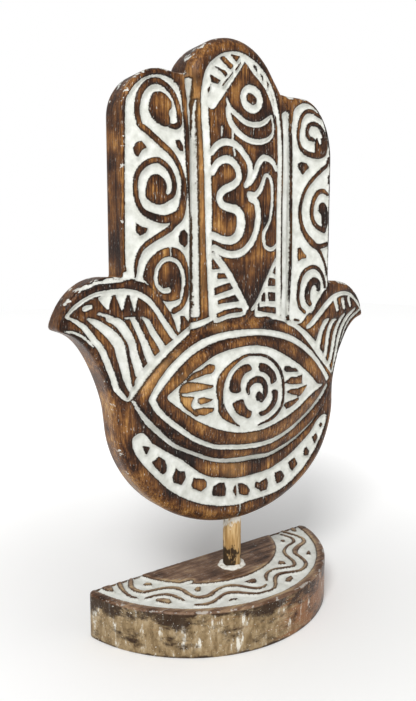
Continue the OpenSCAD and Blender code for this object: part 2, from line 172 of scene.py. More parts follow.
@dataclass(frozen=True)
class Ripple:
    """Slow unevenness of hand work: size times the mean of a few sine waves of about that length."""

    size: float
    length: float
    seed: int
    waves: int = 6

    def at(self, where: np.ndarray) -> np.ndarray:
        """The unevenness at each place, between -size and size."""
        rng = np.random.default_rng(self.seed)
        angles = rng.uniform(0, 2 * np.pi, self.waves)
        lengths = self.length * rng.uniform(0.6, 1.6, self.waves)
        phases = rng.uniform(0, 2 * np.pi, self.waves)
        heading = np.stack([np.cos(angles), np.sin(angles)])
        return self.size * np.sin(where @ heading * (2 * np.pi / lengths) + phases).mean(axis=1)


class Level(Enum):
    """What a shape of the carving leaves of the board."""

    SUNK = "cut down and filled with white wash"
    PROUD = "left standing and stained"


@dataclass(frozen=True)
class Mark:
    """One shape of the carving, as a stroke (across, up, width) or an area (across, up)."""

    level: Level
    points: tuple[tuple[float, ...], ...]
    curved: bool = True

    def distance(self, where: np.ndarray) -> np.ndarray:
        """Distance to the shape's edge at each place, negative inside it."""
        stroke = len(self.points[0]) == 3
        line = np.array(self.points, float)
        if self.curved:
            line = curve(line, closed=not stroke)
        return line_distance(where, line, closed=False) if stroke else loop_distance(where, line)

    def near(self, where: np.ndarray) -> np.ndarray:
        """Which places are close enough to the shape to be changed by it."""
        line = np.array(self.points, float)
        margin = REACH + SLACK
        spot = where - line[:, :2].min(axis=0) + margin
        span = np.ptp(line[:, :2], axis=0) + 2 * margin
        return ((spot > 0) & (spot < span)).all(axis=1)


def sunk(*points: tuple[float, ...]) -> Mark:
    """A groove or a ground, cut with a gouge."""
    return Mark(Level.SUNK, points)


def proud(*points: tuple[float, ...]) -> Mark:
    """A ridge or an island with a flowing edge."""
    return Mark(Level.PROUD, points)


def chip(*points: tuple[float, ...]) -> Mark:
    """A small island with straight knife-cut edges."""
    return Mark(Level.PROUD, points, curved=False)


def carved(where: np.ndarray, marks: tuple[Mark, ...]) -> np.ndarray:
    """Distance to the nearest edge of the carving, negative where the board is cut down.

    Each mark paints over the ones before it: a sunk one takes the smaller of the two
    distances, and a proud one the larger of the old distance and its own turned round.

    Args:
        where: the places on the face, one a row.
        marks: the marks in the order in which they are cut.

    Returns:
        One distance for each place, held within REACH of the edge.
    """
    field = np.full(len(where), REACH)
    for mark in marks:
        rows = np.flatnonzero(mark.near(where))
        if len(rows):
            gap = mark.distance(where[rows])
            if mark.level is Level.SUNK:
                field[rows] = np.minimum(field[rows], gap)
            else:
                field[rows] = np.maximum(field[rows], -gap)
    return np.clip(field, -REACH, REACH)


LEFT_FINGER = (
    # White ground round the three whorls
    sunk((-65.5, 134), (-65.6, 160), (-65.4, 185), (-65, 206), (-63, 212), (-59, 217.2), (-53.5, 220.9),
         (-47, 222.6), (-42, 222.2), (-38.5, 221), (-35.8, 217), (-34.4, 209), (-33.6, 200), (-33, 190),
         (-32.3, 180), (-31, 165), (-30.6, 150), (-30.5, 130), (-30.5, 112), (-33.5, 107), (-37.5, 104),
         (-39.6, 109), (-41.9, 113.5), (-45.6, 118.5), (-50.6, 124), (-56, 128), (-61.5, 129.5)),
    # Ridge that winds down from the upper whorl to the middle one
    proud((-41.5, 200.8, 2), (-38.5, 200.8, 2.6), (-36.2, 202.5, 2.8), (-36.3, 206.5, 2.8),
          (-37.5, 211, 2.8), (-40, 215.5, 2.8), (-44, 218.5, 2.8), (-48.5, 219.6, 2.8), (-53, 218, 2.8),
          (-56.8, 214, 2.8), (-58.7, 209, 2.8), (-59, 204, 2.8), (-57.5, 199, 2.9), (-54.5, 197.3, 3),
          (-50, 194.5, 3), (-45.5, 191.5, 3), (-41, 188.5, 2.8), (-37.5, 184.5, 2.6), (-35, 179.5, 2.5),
          (-33.8, 174, 3), (-34.5, 166, 4), (-36.5, 160, 5), (-39.5, 156.5, 4)),
    proud((-38, 160, 4), (-44, 157.8, 3.8), (-50, 158.3, 3.6), (-56, 160.5, 2.8), (-59.3, 165, 2.6),
          (-60.3, 171, 2.6), (-59.8, 176, 2.6), (-57, 180.5, 2.6), (-52.5, 183.5, 2.6),
          (-48, 184.4, 2.6), (-43.5, 182.3, 2.6), (-40.5, 178.5, 2.6), (-39.2, 173.5, 2.6),
          (-40.3, 169.5, 2.6), (-43.5, 167.5, 2.6)),
    proud((-40, 156, 3.5), (-42, 153.5, 3), (-48, 150, 2.6), (-54, 146.5, 2.4), (-58, 143, 2.2),
          (-60.5, 137, 2), (-61, 131, 0.8)),
    # Hearts of the upper two whorls
    proud((-53, 208), (-51, 213.5), (-47.5, 215), (-44, 214.5), (-41, 212), (-40.5, 209), (-42, 207),
          (-41.5, 204), (-42, 201), (-45, 200), (-50, 202), (-52.5, 205)),
    proud((-55, 169.5), (-54, 174.5), (-51.5, 177.5), (-48, 178), (-44.8, 176), (-43.5, 173),
          (-44, 170), (-42, 167.5), (-44, 165.5), (-48, 164.3), (-52, 165.3), (-54.7, 167.3)),
    # Lowest whorl with its inner channel and its tail
    proud((-57, 131), (-54.5, 137.5), (-50, 141.8), (-45.5, 144.2), (-40, 144.8), (-35.5, 143),
          (-32.5, 138.5), (-31.3, 133), (-31.3, 126), (-34.8, 121.5), (-38.5, 119.8), (-43, 119.2),
          (-47, 120.2), (-50.5, 123.5), (-54.5, 128)),
    sunk((-43, 124.5, 3), (-46.5, 124.5, 2.4), (-49.5, 127.5, 2.2), (-50, 131, 2.2), (-49, 135, 2.2),
         (-46, 138.3, 2.2), (-42, 139.3, 2.2), (-38, 138, 2.2), (-35.5, 134.5, 2.2), (-34.4, 130, 2.2),
         (-34.5, 126, 2.2), (-35.5, 121.5, 2.2)),
    sunk((-42, 144.8, 1), (-41.3, 140.8, 1)),
    proud((-32.3, 126, 3), (-33.5, 120.5, 3), (-36, 116.5, 2.6), (-40, 114.5, 3)),
    # Loose cells between the whorls
    chip((-61.2, 188.8), (-59.5, 191.3), (-56.8, 192), (-54, 189.5), (-56.5, 188.3), (-59, 184.6),
         (-61, 186.5)),
    chip((-38.8, 194.5), (-36, 195), (-34.2, 192.5), (-34, 190), (-36, 190), (-37.5, 191.5)),
    chip((-60.3, 155.3), (-57.5, 154), (-54, 153.2), (-55, 151.3), (-58, 149.8), (-60.3, 151.3)),
    chip((-37.2, 149.5), (-36, 152.5), (-33.8, 153.5), (-31.8, 151.5), (-31.8, 147), (-33.5, 145),
         (-36.5, 147)),
    chip((-36.3, 112), (-34, 112), (-32, 109.5), (-31.8, 107), (-33.5, 105.5), (-36.5, 104.8),
         (-36, 108)),
    # Thin ridge and worn valley beside the middle finger
    proud((-39, 221.3, 1.2), (-35.5, 219.5, 1.3), (-33.8, 214, 1.3), (-33.1, 208, 1.3),
          (-32.5, 200, 1.3), (-31.6, 188, 2), (-31, 176, 1.4), (-30.4, 166, 1), (-30.1, 150, 1),
          (-30, 130, 1), (-30, 110, 1)),
    sunk((-31.1, 223, 2.2), (-30.8, 215, 2.6), (-30.5, 208, 2.4), (-30, 202, 1.6), (-29.2, 198, 1.4),
         (-28.8, 180, 2.2), (-28.5, 150, 2.2), (-28.4, 130, 2), (-28.2, 112, 2)),
    sunk((-27.9, 214, 0.8), (-27.6, 190, 1.2), (-27.4, 160, 1.4), (-27.2, 130, 1.6), (-27, 112, 1.9)),
    proud((-28.8, 162, 0.3), (-28.6, 150, 0.6), (-28.5, 130, 0.6), (-28.3, 113, 0.5)),
)

MIDDLE_FINGER = (
    # White frame just inside the finger's edge
    sunk((-20.3, 112, 2.6), (-21, 130, 3.2), (-21.8, 150, 3.6), (-22, 170, 4), (-22.6, 190, 4),
         (-23.7, 208, 3.6), (-24.2, 218, 3.6), (-22.6, 226.5, 3.2), (-18.5, 232.3, 2.8),
         (-12, 236.6, 2.6), (-5, 238.5, 2.4), (2, 237.6, 2.6), (8.6, 234.8, 2.6), (14, 230.6, 2.4),
         (18, 225, 2.4), (20.9, 217.5, 2.4), (22.9, 209, 2.6), (23.9, 198, 3), (24, 180, 3.2),
         (23.9, 160, 3.4), (24, 140, 3.4), (24.6, 120, 3), (25, 111, 3)),
    # Upper left corner with its wedges
    sunk((-24, 216), (-23, 224), (-19, 231), (-12, 237), (-5, 239), (-2, 238.5), (-4, 234), (-10, 226),
         (-15, 219.5), (-21, 211)),
    chip((-22.5, 219), (-20.5, 222), (-22, 217)),
    chip((-21.5, 226.5), (-15, 224.5), (-16.5, 222.5), (-20, 223)),
    chip((-19.8, 231), (-12, 229.5), (-9.5, 227.5), (-11, 226), (-14, 228.5)),
    chip((-15.5, 234.8), (-13, 236.3), (-7, 233), (-6, 232.5), (-8, 230), (-11, 232)),
    chip((-9, 238), (-2.5, 237.8), (-4.5, 234.5), (-6, 235.5)),
    sunk((-20, 213, 5), (-10, 225.6, 4.4), (-1.5, 236.5, 3.6)),
    proud((-13.5, 222.5, 0.6), (-7.5, 229.5, 0.6)),
    proud((-5.5, 231, 0.6), (-2.5, 235, 0.6)),
    # Upper right corner
    sunk((1, 237.5), (8, 235.3), (14, 230.5), (18.5, 224), (21.3, 215), (18, 219.5), (14, 225.5),
         (7, 231.5)),
    sunk((0.5, 237, 2.2), (7, 231.5, 2.2), (14, 226, 2.2), (18, 220, 2.2), (20.5, 214, 2.2)),
    chip((5, 235.5), (8, 235), (8, 232)),
    chip((10, 232), (12, 231), (12, 228.5)),
    chip((14.5, 229), (16, 228), (15.5, 225.5)),
    chip((17, 224.5), (18.5, 222), (19.5, 219)),
    # Ring and crescent over the sign
    sunk((-2.9, 218.8), (-0.7, 223.7), (4.5, 225.7), (9.7, 223.7), (11.9, 218.8), (9.7, 213.9),
         (4.5, 211.9), (-0.7, 213.9)),
    proud((1.2, 219.6), (2.4, 221.3), (5, 221.3), (7.5, 219.7), (7.8, 218), (6.5, 216.4), (4, 216.4),
          (1.6, 217.7)),
    sunk((5.7, 218.5, 0.7), (6.4, 218.4, 0.5)),
    sunk((-11.3, 217, 1), (-10.3, 214.5, 2), (-9, 212.3, 2.6), (-4.5, 209.7, 2.8), (0.5, 207.3, 2.8),
         (5.5, 206.7, 2.8), (10.5, 207.5, 2.8), (14.5, 209.8, 2.6), (17.8, 212.5, 1.5)),
    sunk((-10.5, 212, 3), (-9.3, 207, 3.5), (-6, 203, 3.5), (-2, 200.5, 3.4), (3, 198.8, 3),
         (9, 198.6, 3), (14, 199.8, 2.6), (17.5, 202, 2.4), (19.2, 205, 1.6), (18.8, 209.5, 1.4),
         (18, 212.5, 1.4)),
    sunk((6.3, 205.3, 0.6), (5.5, 201, 0.6)),
    sunk((-14, 203, 1.2), (-14, 199, 1.2)),
    sunk((-7.5, 203.5, 1.4), (-7.3, 198, 1.4)),
    sunk((-6.8, 193.5, 1.4), (-6, 190.5, 1.4)),
    # Bows of the sign
    sunk((-20, 190.5, 3.2), (-17, 194, 3.6), (-13, 196, 3.6), (-8.5, 196.3, 3.6), (-4, 194.8, 3.6),
         (0, 191.5, 3.6), (3, 188, 3.6), (4, 184, 3.6), (3.3, 180, 3.4), (1.2, 176.5, 3)),
    sunk((1.2, 176.5, 2), (4, 178.5, 3), (7, 183, 3.4), (9, 187.5, 3.4), (12, 190.8, 3.4),
         (15.2, 191.2, 3.2), (18.7, 190, 3), (21.6, 186.3, 2.6)),
    sunk((-19.5, 181.5, 3.8), (-17, 185.3, 3.8), (-13.5, 187.5, 3.8), (-9.5, 188, 3.8),
         (-5.8, 186, 3.8), (-3.6, 182.5, 3.8), (-3.6, 179.5, 3.8), (-5.8, 176.8, 3.8), (-9, 175, 4),
         (-12.5, 173.3, 4), (-15, 170.8, 4), (-15, 167.8, 4), (-13, 165.8, 4), (-9, 164.8, 4.2),
         (-5, 164.2, 4.6), (-2.6, 162, 5), (-1.9, 159, 5.5), (-2.2, 155, 5.5), (-4, 151.3, 5),
         (-7.5, 149.1, 4.4), (-12, 148.9, 4), (-16, 149.8, 4), (-19, 151, 4)),
    sunk((4, 170, 3), (8, 168.5, 3.8), (9.3, 163, 3.8), (8.8, 157.5, 3.8), (7.2, 152, 3.8),
         (4, 147, 3.8), (-1, 143.3, 3.8), (-6, 142, 3.8), (-11, 142.2, 3.8), (-15, 143.5, 3.8),
         (-18.5, 145, 3.6)),
    sunk((3.5, 172, 3.8), (7, 172, 3.4), (10, 174.5, 3), (12, 178, 2.6), (13.8, 182, 2.4),
         (16, 182.6, 2), (18, 180.5, 2.2), (18.9, 176, 2), (19, 171, 2), (18.3, 165, 2),
         (17, 159.5, 1.8), (15, 156, 2), (13.3, 153.5, 2.4), (13.2, 150, 2.4), (14.3, 146.8, 2.2),
         (17, 145.2, 2.2), (20, 145.5, 2.2), (22.5, 147.3, 2.2)),
    # Pointed arch below the sign, with white corners on both sides of it
    sunk((-20.5, 141), (-17.5, 141), (-12, 136), (-8, 131), (-4.5, 125.5), (-1, 120), (2, 114),
         (0, 111), (-8, 110), (-19.5, 110)),
    chip((-19.8, 140.5), (-19.8, 134.5), (-14.5, 134.8)),
    chip((-16.5, 132.7), (-12, 132.5), (-10.3, 130.2), (-16.5, 129.8)),
    chip((-18.2, 125.5), (-9, 128), (-6.8, 125), (-12, 123.5), (-18, 121.8)),
    chip((-16.3, 119.3), (-5.5, 121.7), (-2.8, 118.5), (-10, 118), (-16, 117.2)),
    chip((-17.3, 112.5), (-12, 114.2), (-5, 115.2), (-1, 114.9), (-0.5, 113.2), (-8, 112.5),
         (-16.5, 110.5)),
    sunk((24, 139), (21.5, 138.5), (19.5, 135), (16, 129), (12.5, 122.5), (9, 117), (7.5, 113.5),
         (9, 110), (16, 110), (24.5, 110)),
    chip((20, 133), (21.8, 136.5), (21.8, 131.8)),
    chip((17.5, 130.3), (21.8, 129.8), (21.8, 126), (16.5, 126)),
    chip((12.5, 122.5), (14.7, 122.5), (14.7, 118), (12.2, 118)),
    chip((16.8, 122.8), (22, 122.5), (22.3, 118), (17.5, 118)),
    chip((9.5, 117), (10.8, 117.2), (11, 114.8), (16, 115.3), (22.5, 114.5), (22.8, 111.2), (15, 112.2),
         (9.8, 113.3)),
    sunk((-17.5, 142, 2.2), (-12, 136, 2.6), (-8, 131, 2.6), (-4.5, 125.5, 2.6), (-1, 120, 2.6),
         (2.5, 115, 2.4)),
    sunk((21.8, 140, 1.2), (19.5, 136, 1.4), (16, 129.5, 1.8), (12.5, 123, 2), (9, 117.5, 2),
         (6, 114, 2)),
    # Worn valley on the right of the finger
    sunk((27, 109), (26.8, 125), (26.5, 150), (26.5, 180), (26.4, 196), (25.9, 208), (25, 214),
         (27, 216), (31, 217.5), (33.6, 217.5), (34.8, 212), (35.3, 204), (35.7, 190), (35.8, 175),
         (36.1, 155), (36, 140), (35.6, 122), (35.4, 109)),
)

RIGHT_FINGER = (
    # White ground round the two whorls
    sunk((36.4, 108), (36.6, 125), (37.2, 145), (37, 160), (36.7, 180), (36.6, 200), (36, 211),
         (36.5, 217.5), (38, 220.3), (42, 222.8), (47, 223.8), (52, 222.5), (56.5, 219), (60, 214.5),
         (62.5, 208), (64.5, 202), (65.3, 190), (65.5, 160), (65.5, 128), (62, 122), (57.5, 116.5),
         (54, 112), (49, 109), (45.5, 105.5), (41, 104.5)),
    # Upper whorl
    proud((57.5, 217.5, 1), (55, 218.6, 1.8), (50, 220, 2.2), (45.5, 219, 2.2), (42, 215, 2.2),
          (40.5, 208, 2.2), (40.6, 204, 2), (42.5, 200, 2.4), (46.5, 197.8, 3), (51, 197, 3),
          (55.5, 197.3, 3.4), (59.5, 198.8, 4), (61, 202, 4), (60.8, 206, 3.6), (59, 210.3, 3),
          (56, 213, 2.4), (52, 213.7, 2.4), (48, 212, 2.6), (46.8, 208.5, 2.6), (48.5, 206, 2.6),
          (52, 205.3, 2)),
    proud((53.5, 205.5), (57, 206.5), (61.5, 206), (61.8, 201), (60, 197.8), (55, 196.5),
          (53.4, 198.5)),
    sunk((54.8, 208.6, 1.4), (56.4, 206.2, 2.3), (57.2, 203.8, 1.4)),
    sunk((50.8, 210.5, 4), (52.2, 210.3, 4)),
    chip((40.5, 191.5), (43, 192.7), (47, 192.2), (49.3, 190.2), (46.5, 188.2), (44.3, 186),
         (42, 187.8), (40.3, 189.7)),
    # Long ridge that swings round the lower whorl
    proud((64, 196.5, 1.8), (62.5, 192.5, 2), (59, 190, 2.2), (54.5, 186.5, 2.2), (50, 182.5, 2.2),
          (46.3, 178, 2.2), (44, 173, 2.4), (42.8, 167.5, 2.4), (43.2, 162, 2.6), (45, 157, 3),
          (48.5, 152.5, 3.4), (53, 149, 4), (57, 146.5, 2.6), (60.5, 142, 1.8), (63, 137.5, 1.6),
          (64.5, 132, 1.4)),
    proud((52, 149, 2.6), (58, 147.8, 2.6), (64, 149, 2.6)),
    proud((63.5, 177, 2), (60, 178.4, 2.6), (56, 177, 2.8), (52.9, 173, 2.9), (51.6, 168, 2.9),
          (52.2, 163, 2.9), (54.8, 159.5, 2.8), (58.5, 157.5, 2.8), (61.5, 156.8, 3)),
    proud((59, 165.2), (56.8, 167.5), (57.6, 171), (60.5, 172.2), (63.2, 170.5), (64.4, 166),
          (64.2, 160), (62, 156), (60, 155.8), (59.8, 160.5)),
    chip((41.5, 146.3), (43.5, 146.8), (46, 144), (48.3, 142.3), (48.2, 141), (44.5, 140.5),
         (42, 139.2), (41.3, 142)),
    # Low ring with its curl
    proud((63.2, 125, 1.8), (62, 129.5, 2), (59.5, 133.5, 2.1), (55.5, 136, 2.2), (51, 135.8, 2.2),
          (46.5, 133.5, 2.3), (43.5, 129, 2.3), (42.3, 123.5, 2.3), (42.2, 118, 2.2), (44, 113.5, 2.1),
          (47.5, 111, 1.9)),
    proud((58, 124, 3.2), (57.4, 127.1, 4), (54, 128.2, 4.2), (51, 126, 4.2), (49.4, 122, 4.2),
          (49.6, 118, 3.8), (51.5, 115.5, 3)),
    proud((40, 107, 1.4), (43, 106.5, 1)),
    proud((64.3, 187, 0.8), (64.2, 183, 0.8)),
)

LEFT_THUMB = (
    # White left in scrapes along the left thumb's rim
    sunk((-94.8, 122.4, 0.6), (-93.5, 123.6, 1.7), (-92.2, 124.5, 0.6)),
    sunk((-91.6, 124.9, 0.6), (-90.3, 125.5, 1.8), (-88.9, 126, 0.6)),
    sunk((-88, 126.2, 0.6), (-86, 126.8, 1.6), (-83.6, 127, 0.6)),
    sunk((-82.7, 127.6, 0.6), (-80.5, 128.2, 1.7), (-78.2, 128.8, 0.6)),
    sunk((-77, 129.2, 0.6), (-74.2, 129.7, 1.5), (-71, 130, 0.7)),
    # Groove along the rim
    sunk((-38.5, 100.5, 3.2), (-42, 104.5, 3.4), (-46, 110, 3.2), (-50.5, 116, 2.8), (-55, 120.5, 3),
         (-60, 123, 3), (-66, 124.2, 3), (-73, 124.1, 2.6), (-80, 123.3, 2), (-86, 120.8, 2),
         (-91, 117.3, 2), (-94.6, 113.9, 1.2)),
    # Three teeth below the rim groove
    sunk((-79.5, 122), (-78, 119), (-75, 116.3), (-74, 119), (-73.5, 123)),
    sunk((-71, 123), (-69.8, 119), (-68, 115.5), (-66.8, 119), (-66, 123)),
    sunk((-64, 122.5), (-63, 118.5), (-61.7, 114.8), (-60.6, 118.5), (-60, 122)),
    # Stripes of the thumb, from its tip inwards
    sunk((-94.6, 113.6, 1.2), (-90, 111.3, 2), (-86, 108, 2.8), (-82.2, 103, 3), (-79, 99, 3.2),
         (-76.3, 93, 3.2), (-74.3, 88, 3), (-72.8, 84, 2.8), (-71.5, 80, 2.6), (-69, 76.5, 2.6),
         (-66, 73.8, 1.6)),
    sunk((-84.5, 112.3, 1.5), (-80.3, 110, 3.5), (-74, 105, 5), (-70, 100, 5.6), (-68.8, 95, 5.4),
         (-67.5, 90, 4.7), (-66.4, 85, 4.2), (-64.9, 80, 2.9), (-63.8, 77.5, 1.5)),
    sunk((-75.5, 111.8, 1.5), (-70, 110, 4.4), (-65.9, 105, 4.6), (-63.2, 100, 4.2), (-62.2, 95, 4.4),
         (-60.5, 90, 4.8), (-59.5, 86, 4.8)),
    sunk((-63.8, 112, 1.2), (-61.7, 110, 3), (-59.2, 105, 3.2), (-56.7, 100, 3.8), (-54.7, 95, 4.6),
         (-52.5, 91, 5)),
    sunk((-57.5, 112, 1.2), (-55, 110, 2.8), (-52.2, 105, 3.4), (-48.6, 100, 3.6), (-46, 96, 4)),
    sunk((-79.5, 114.5, 1.5), (-73, 112.8, 1.5)),
    sunk((-67, 112, 1), (-61.5, 112.2, 1)),
    sunk((-86, 117, 2.6), (-83.3, 117.8, 2.2)),
    sunk((-95, 107.2, 1), (-91, 106.5, 1.3), (-86.5, 104, 1.3), (-82.5, 100, 1)),
    # White band along the lid, and a worn edge on top
    sunk((-65.5, 74, 1.5), (-62, 79, 3.4), (-58, 84.6, 4.4), (-53, 89.2, 4.4), (-47.3, 93.7, 4.2),
         (-41.5, 98.1, 3.8), (-35, 102.4, 3.4), (-30, 105.8, 3), (-26, 108, 3), (-20, 110.3, 2.6)),
    chip((-63.5, 80.8), (-62, 82.3), (-61.8, 80.8), (-63.2, 79.8)),
    sunk((-79.5, 128.3, 1.2), (-73.5, 128.9, 1.8), (-67.5, 129.3, 1.2)),
    sunk((-87.5, 125.3, 1), (-84.5, 126.5, 1.6), (-81.5, 127.3, 1)),
    sunk((-67.5, 131, 3), (-65, 131.5, 4)),
)

RIGHT_THUMB = (
    # Groove along the rim, and its teeth
    sunk((50, 102.5, 2.5), (54, 105, 3.4), (60, 110.3, 3.6), (65, 114.7, 3.8), (70, 118.5, 3.5),
         (75, 120.3, 3), (80, 121, 2.6), (85, 120.4, 2.4), (89, 118.5, 2), (93, 115.5, 1.8),
         (96.5, 111.5, 1.6)),
    sunk((72, 118, 3.6), (74.5, 111.5, 2.4)),
    sunk((79, 117, 3.2), (80.5, 112.5, 2.2)),
    sunk((84.5, 118, 2.8), (86.5, 113.5, 1.8)),
    # Stripes of the thumb, from the lid outwards
    sunk((67.3, 106.3, 1), (64.6, 104.8, 3.2), (62, 101.5, 3.3), (60.3, 98, 3.4), (59, 94.5, 4),
         (58, 91, 4)),
    sunk((73.3, 106, 1), (70.5, 104.8, 2.4), (68.3, 102, 2.8), (66.9, 98.5, 3), (66, 94, 3),
         (65.3, 89, 2.8), (64.3, 85.5, 3)),
    sunk((81.5, 109, 1), (77.5, 106, 2.2), (74.6, 102, 2.6), (72.5, 98, 2.8), (71.3, 93, 3),
         (70.2, 88, 2.8), (69, 83.5, 2.6), (67.5, 80, 2.6)),
    sunk((91.5, 111.8, 1), (86, 108.5, 2.2), (81.3, 104.5, 2.6), (78, 100, 2.6), (75.8, 95, 2.8),
         (74.2, 89.5, 2.4), (73, 84, 2.4), (71.8, 79, 2.2), (70.8, 75.5, 1.8)),
    sunk((96.5, 111.3, 1.2), (92, 108.8, 1.6), (87, 106, 1.6), (83, 102, 1.4), (79.8, 97, 1.2),
         (77.5, 91, 1), (76, 85, 0.8)),
    # White band along the lid, and nicks of the upper rim
    sunk((70, 73.5, 1.2), (67, 78, 3), (63, 82.5, 4.5), (58.5, 87.5, 5.5), (53.5, 93, 5.5),
         (48.5, 97.5, 5), (44, 101, 4), (38, 104.5, 3), (30, 107.5, 2.5), (21, 109.8, 2.4)),
    sunk((52.4, 110.6, 1.2), (55.2, 113.2, 1)),
)

EYE = (
    # Groove inside the lid
    sunk((-55.2, 73.3, 3.5), (-52.8, 77.3, 3.4), (-48.5, 82.3, 3.8), (-43, 87.7, 4), (-37, 92.2, 3.8),
         (-31, 95.9, 3.8), (-24, 98.8, 3.7), (-15, 101, 3.6), (-5, 102, 3.6), (5, 102.2, 3.4),
         (14, 101.7, 3.4), (24, 100, 3.6), (33, 97.6, 3.8), (41, 94, 3.8), (48, 89.5, 3.8),
         (54, 84.3, 3.6), (59.5, 78, 3.6), (63.5, 72.5, 3.4)),
    sunk((-55.2, 73.3, 3.4), (-52.5, 68.5, 3.2), (-47.5, 63.3, 2.8), (-42, 58.8, 2.8), (-35, 53.5, 2.6),
         (-30, 50.2, 2.5), (-20, 45.6, 2.4), (-10, 43.7, 2.7), (0, 42.3, 2.8), (10, 41.7, 2.8),
         (20, 42.3, 2.8), (30, 44.8, 2.6), (40, 49.2, 2.6), (50, 54.8, 2.4), (58, 61, 2.2),
         (63.5, 68, 2.4)),
    # White of the eye
    sunk((-47.5, 73.5), (-44, 77), (-39, 80.5), (-34, 84.5), (-28, 88), (-20, 92), (-10, 94.5),
         (0, 95.5), (8, 95.3), (15, 94), (22, 91.5), (30, 87.5), (38, 83), (45, 78), (50, 74),
         (54, 70.5), (59.5, 69), (52, 66), (45, 62.5), (38, 58.5), (30, 55), (22, 52.5), (14, 50.5),
         (5, 50), (-5, 50.8), (-14, 53), (-22, 56), (-30, 60), (-36, 64), (-42, 68.5)),
    # Ring round the iris and the four pieces of the iris
    proud((-4.8, 54.3, 0.6), (-8.5, 56.6, 1.4), (-13, 60, 3.5), (-16.5, 64, 4.5), (-17.5, 69, 3.2),
          (-18.2, 75, 4.6), (-16.5, 80.5, 4.4), (-12.5, 85, 3), (-7, 88.3, 2), (-1, 90.6, 1.4),
          (5, 90.8, 1.2), (11, 90, 1.4), (16, 87.8, 1.6), (20.5, 84, 1.9), (23.3, 79.5, 2),
          (24.6, 74, 1.9), (25, 68, 1.8), (24.3, 62.5, 1.9), (21.5, 58.3, 2.2), (17.5, 55.6, 2.2),
          (13, 54.2, 1.4), (8, 53.2, 0.8)),
    sunk((-16.7, 66, 0.7), (-16.7, 71, 0.7)),
    proud((-12.3, 74.5), (-11.3, 79.5), (-8, 83.5), (-3, 86), (1, 86), (2.3, 83.3), (-2, 81.5),
          (-5, 77.5), (-5.2, 72.7), (-9.5, 72.3)),
    proud((8, 86), (13, 85), (17.5, 81.5), (19.5, 78), (19, 75.5), (15.5, 74.5), (15, 77.5), (12, 80.5),
          (7.8, 82.3)),
    proud((16.5, 71), (20.3, 70.5), (20.8, 68), (20, 64), (17, 60.5), (13, 58.3), (9.5, 57.8),
          (7.8, 60), (12, 61), (15, 63.5), (16.8, 67)),
    proud((-10.2, 66.3), (-8, 68), (-3.5, 68.3), (-2.5, 66), (0, 62.8), (2.5, 61.3), (2.7, 60.7),
          (1.3, 57.8), (-3.5, 59.5), (-7, 61.5)),
    # Pupil
    proud((0.3, 71, 1.6), (-0.3, 74, 2.6), (2, 76.8, 3.2), (6, 77.8, 3.4), (9.8, 76.5, 3.4),
          (11.6, 73, 3.4), (11.2, 69.2, 3.2), (9, 66.8, 3)),
    proud((5.5, 70.5), (7.5, 71.3), (9.5, 69), (8.5, 66.8), (6.3, 66.5), (5, 68.3)),
    # Rays on both sides of the iris
    proud((-36.8, 80.6), (-33.5, 84.2), (-28, 86), (-24, 88), (-20.5, 87), (-21.8, 84), (-26, 83.2),
          (-31, 82)),
    proud((-41.3, 76.2), (-39.3, 79.6), (-36, 80.3), (-31, 79.6), (-26, 78.4), (-22, 77.4),
          (-23.5, 76.2), (-28, 75.7), (-34, 75.2), (-39, 75)),
    proud((-41, 75.8), (-40.7, 71.5), (-38.2, 68), (-35, 65.3), (-31.5, 62.8), (-30.2, 64), (-33, 66.2),
          (-34.6, 68.4), (-34.2, 70.8), (-33, 72.6), (-36, 73.2), (-39.5, 73.9)),
    chip((-31.2, 71.8), (-28, 72.2), (-25, 71.3), (-22, 70.3), (-25, 69.3), (-29.5, 68.6),
         (-31.2, 69.8)),
    chip((-33.2, 66.6), (-28, 67), (-21.3, 66), (-22.3, 64.2), (-27, 62.8), (-31, 63.6)),
    sunk((-38.3, 73.9, 0.9), (-31, 74, 1.2), (-22, 73.8, 2.4)),
    chip((25.3, 81.4), (26.5, 83), (29.8, 82.7), (32, 81.5), (35.2, 81), (37.2, 79), (31, 79.4),
         (27, 79.8)),
    chip((25.6, 74.1), (30.5, 76.6), (35.5, 76.3), (40.5, 77), (39.8, 74.5), (40.5, 72), (35, 72.1),
         (30, 72.8)),
    chip((26.8, 68.8), (31, 70), (36, 69.6), (40, 70.2), (44.8, 70.8), (42, 67.6), (39, 65.5),
         (37.2, 64.9), (36, 66), (33, 66.5)),
    chip((25.3, 62.2), (29.5, 63.4), (33, 63.5), (37, 64.6), (38.2, 63.5), (35, 61.3), (31, 59.8),
         (28.3, 59.2))
)

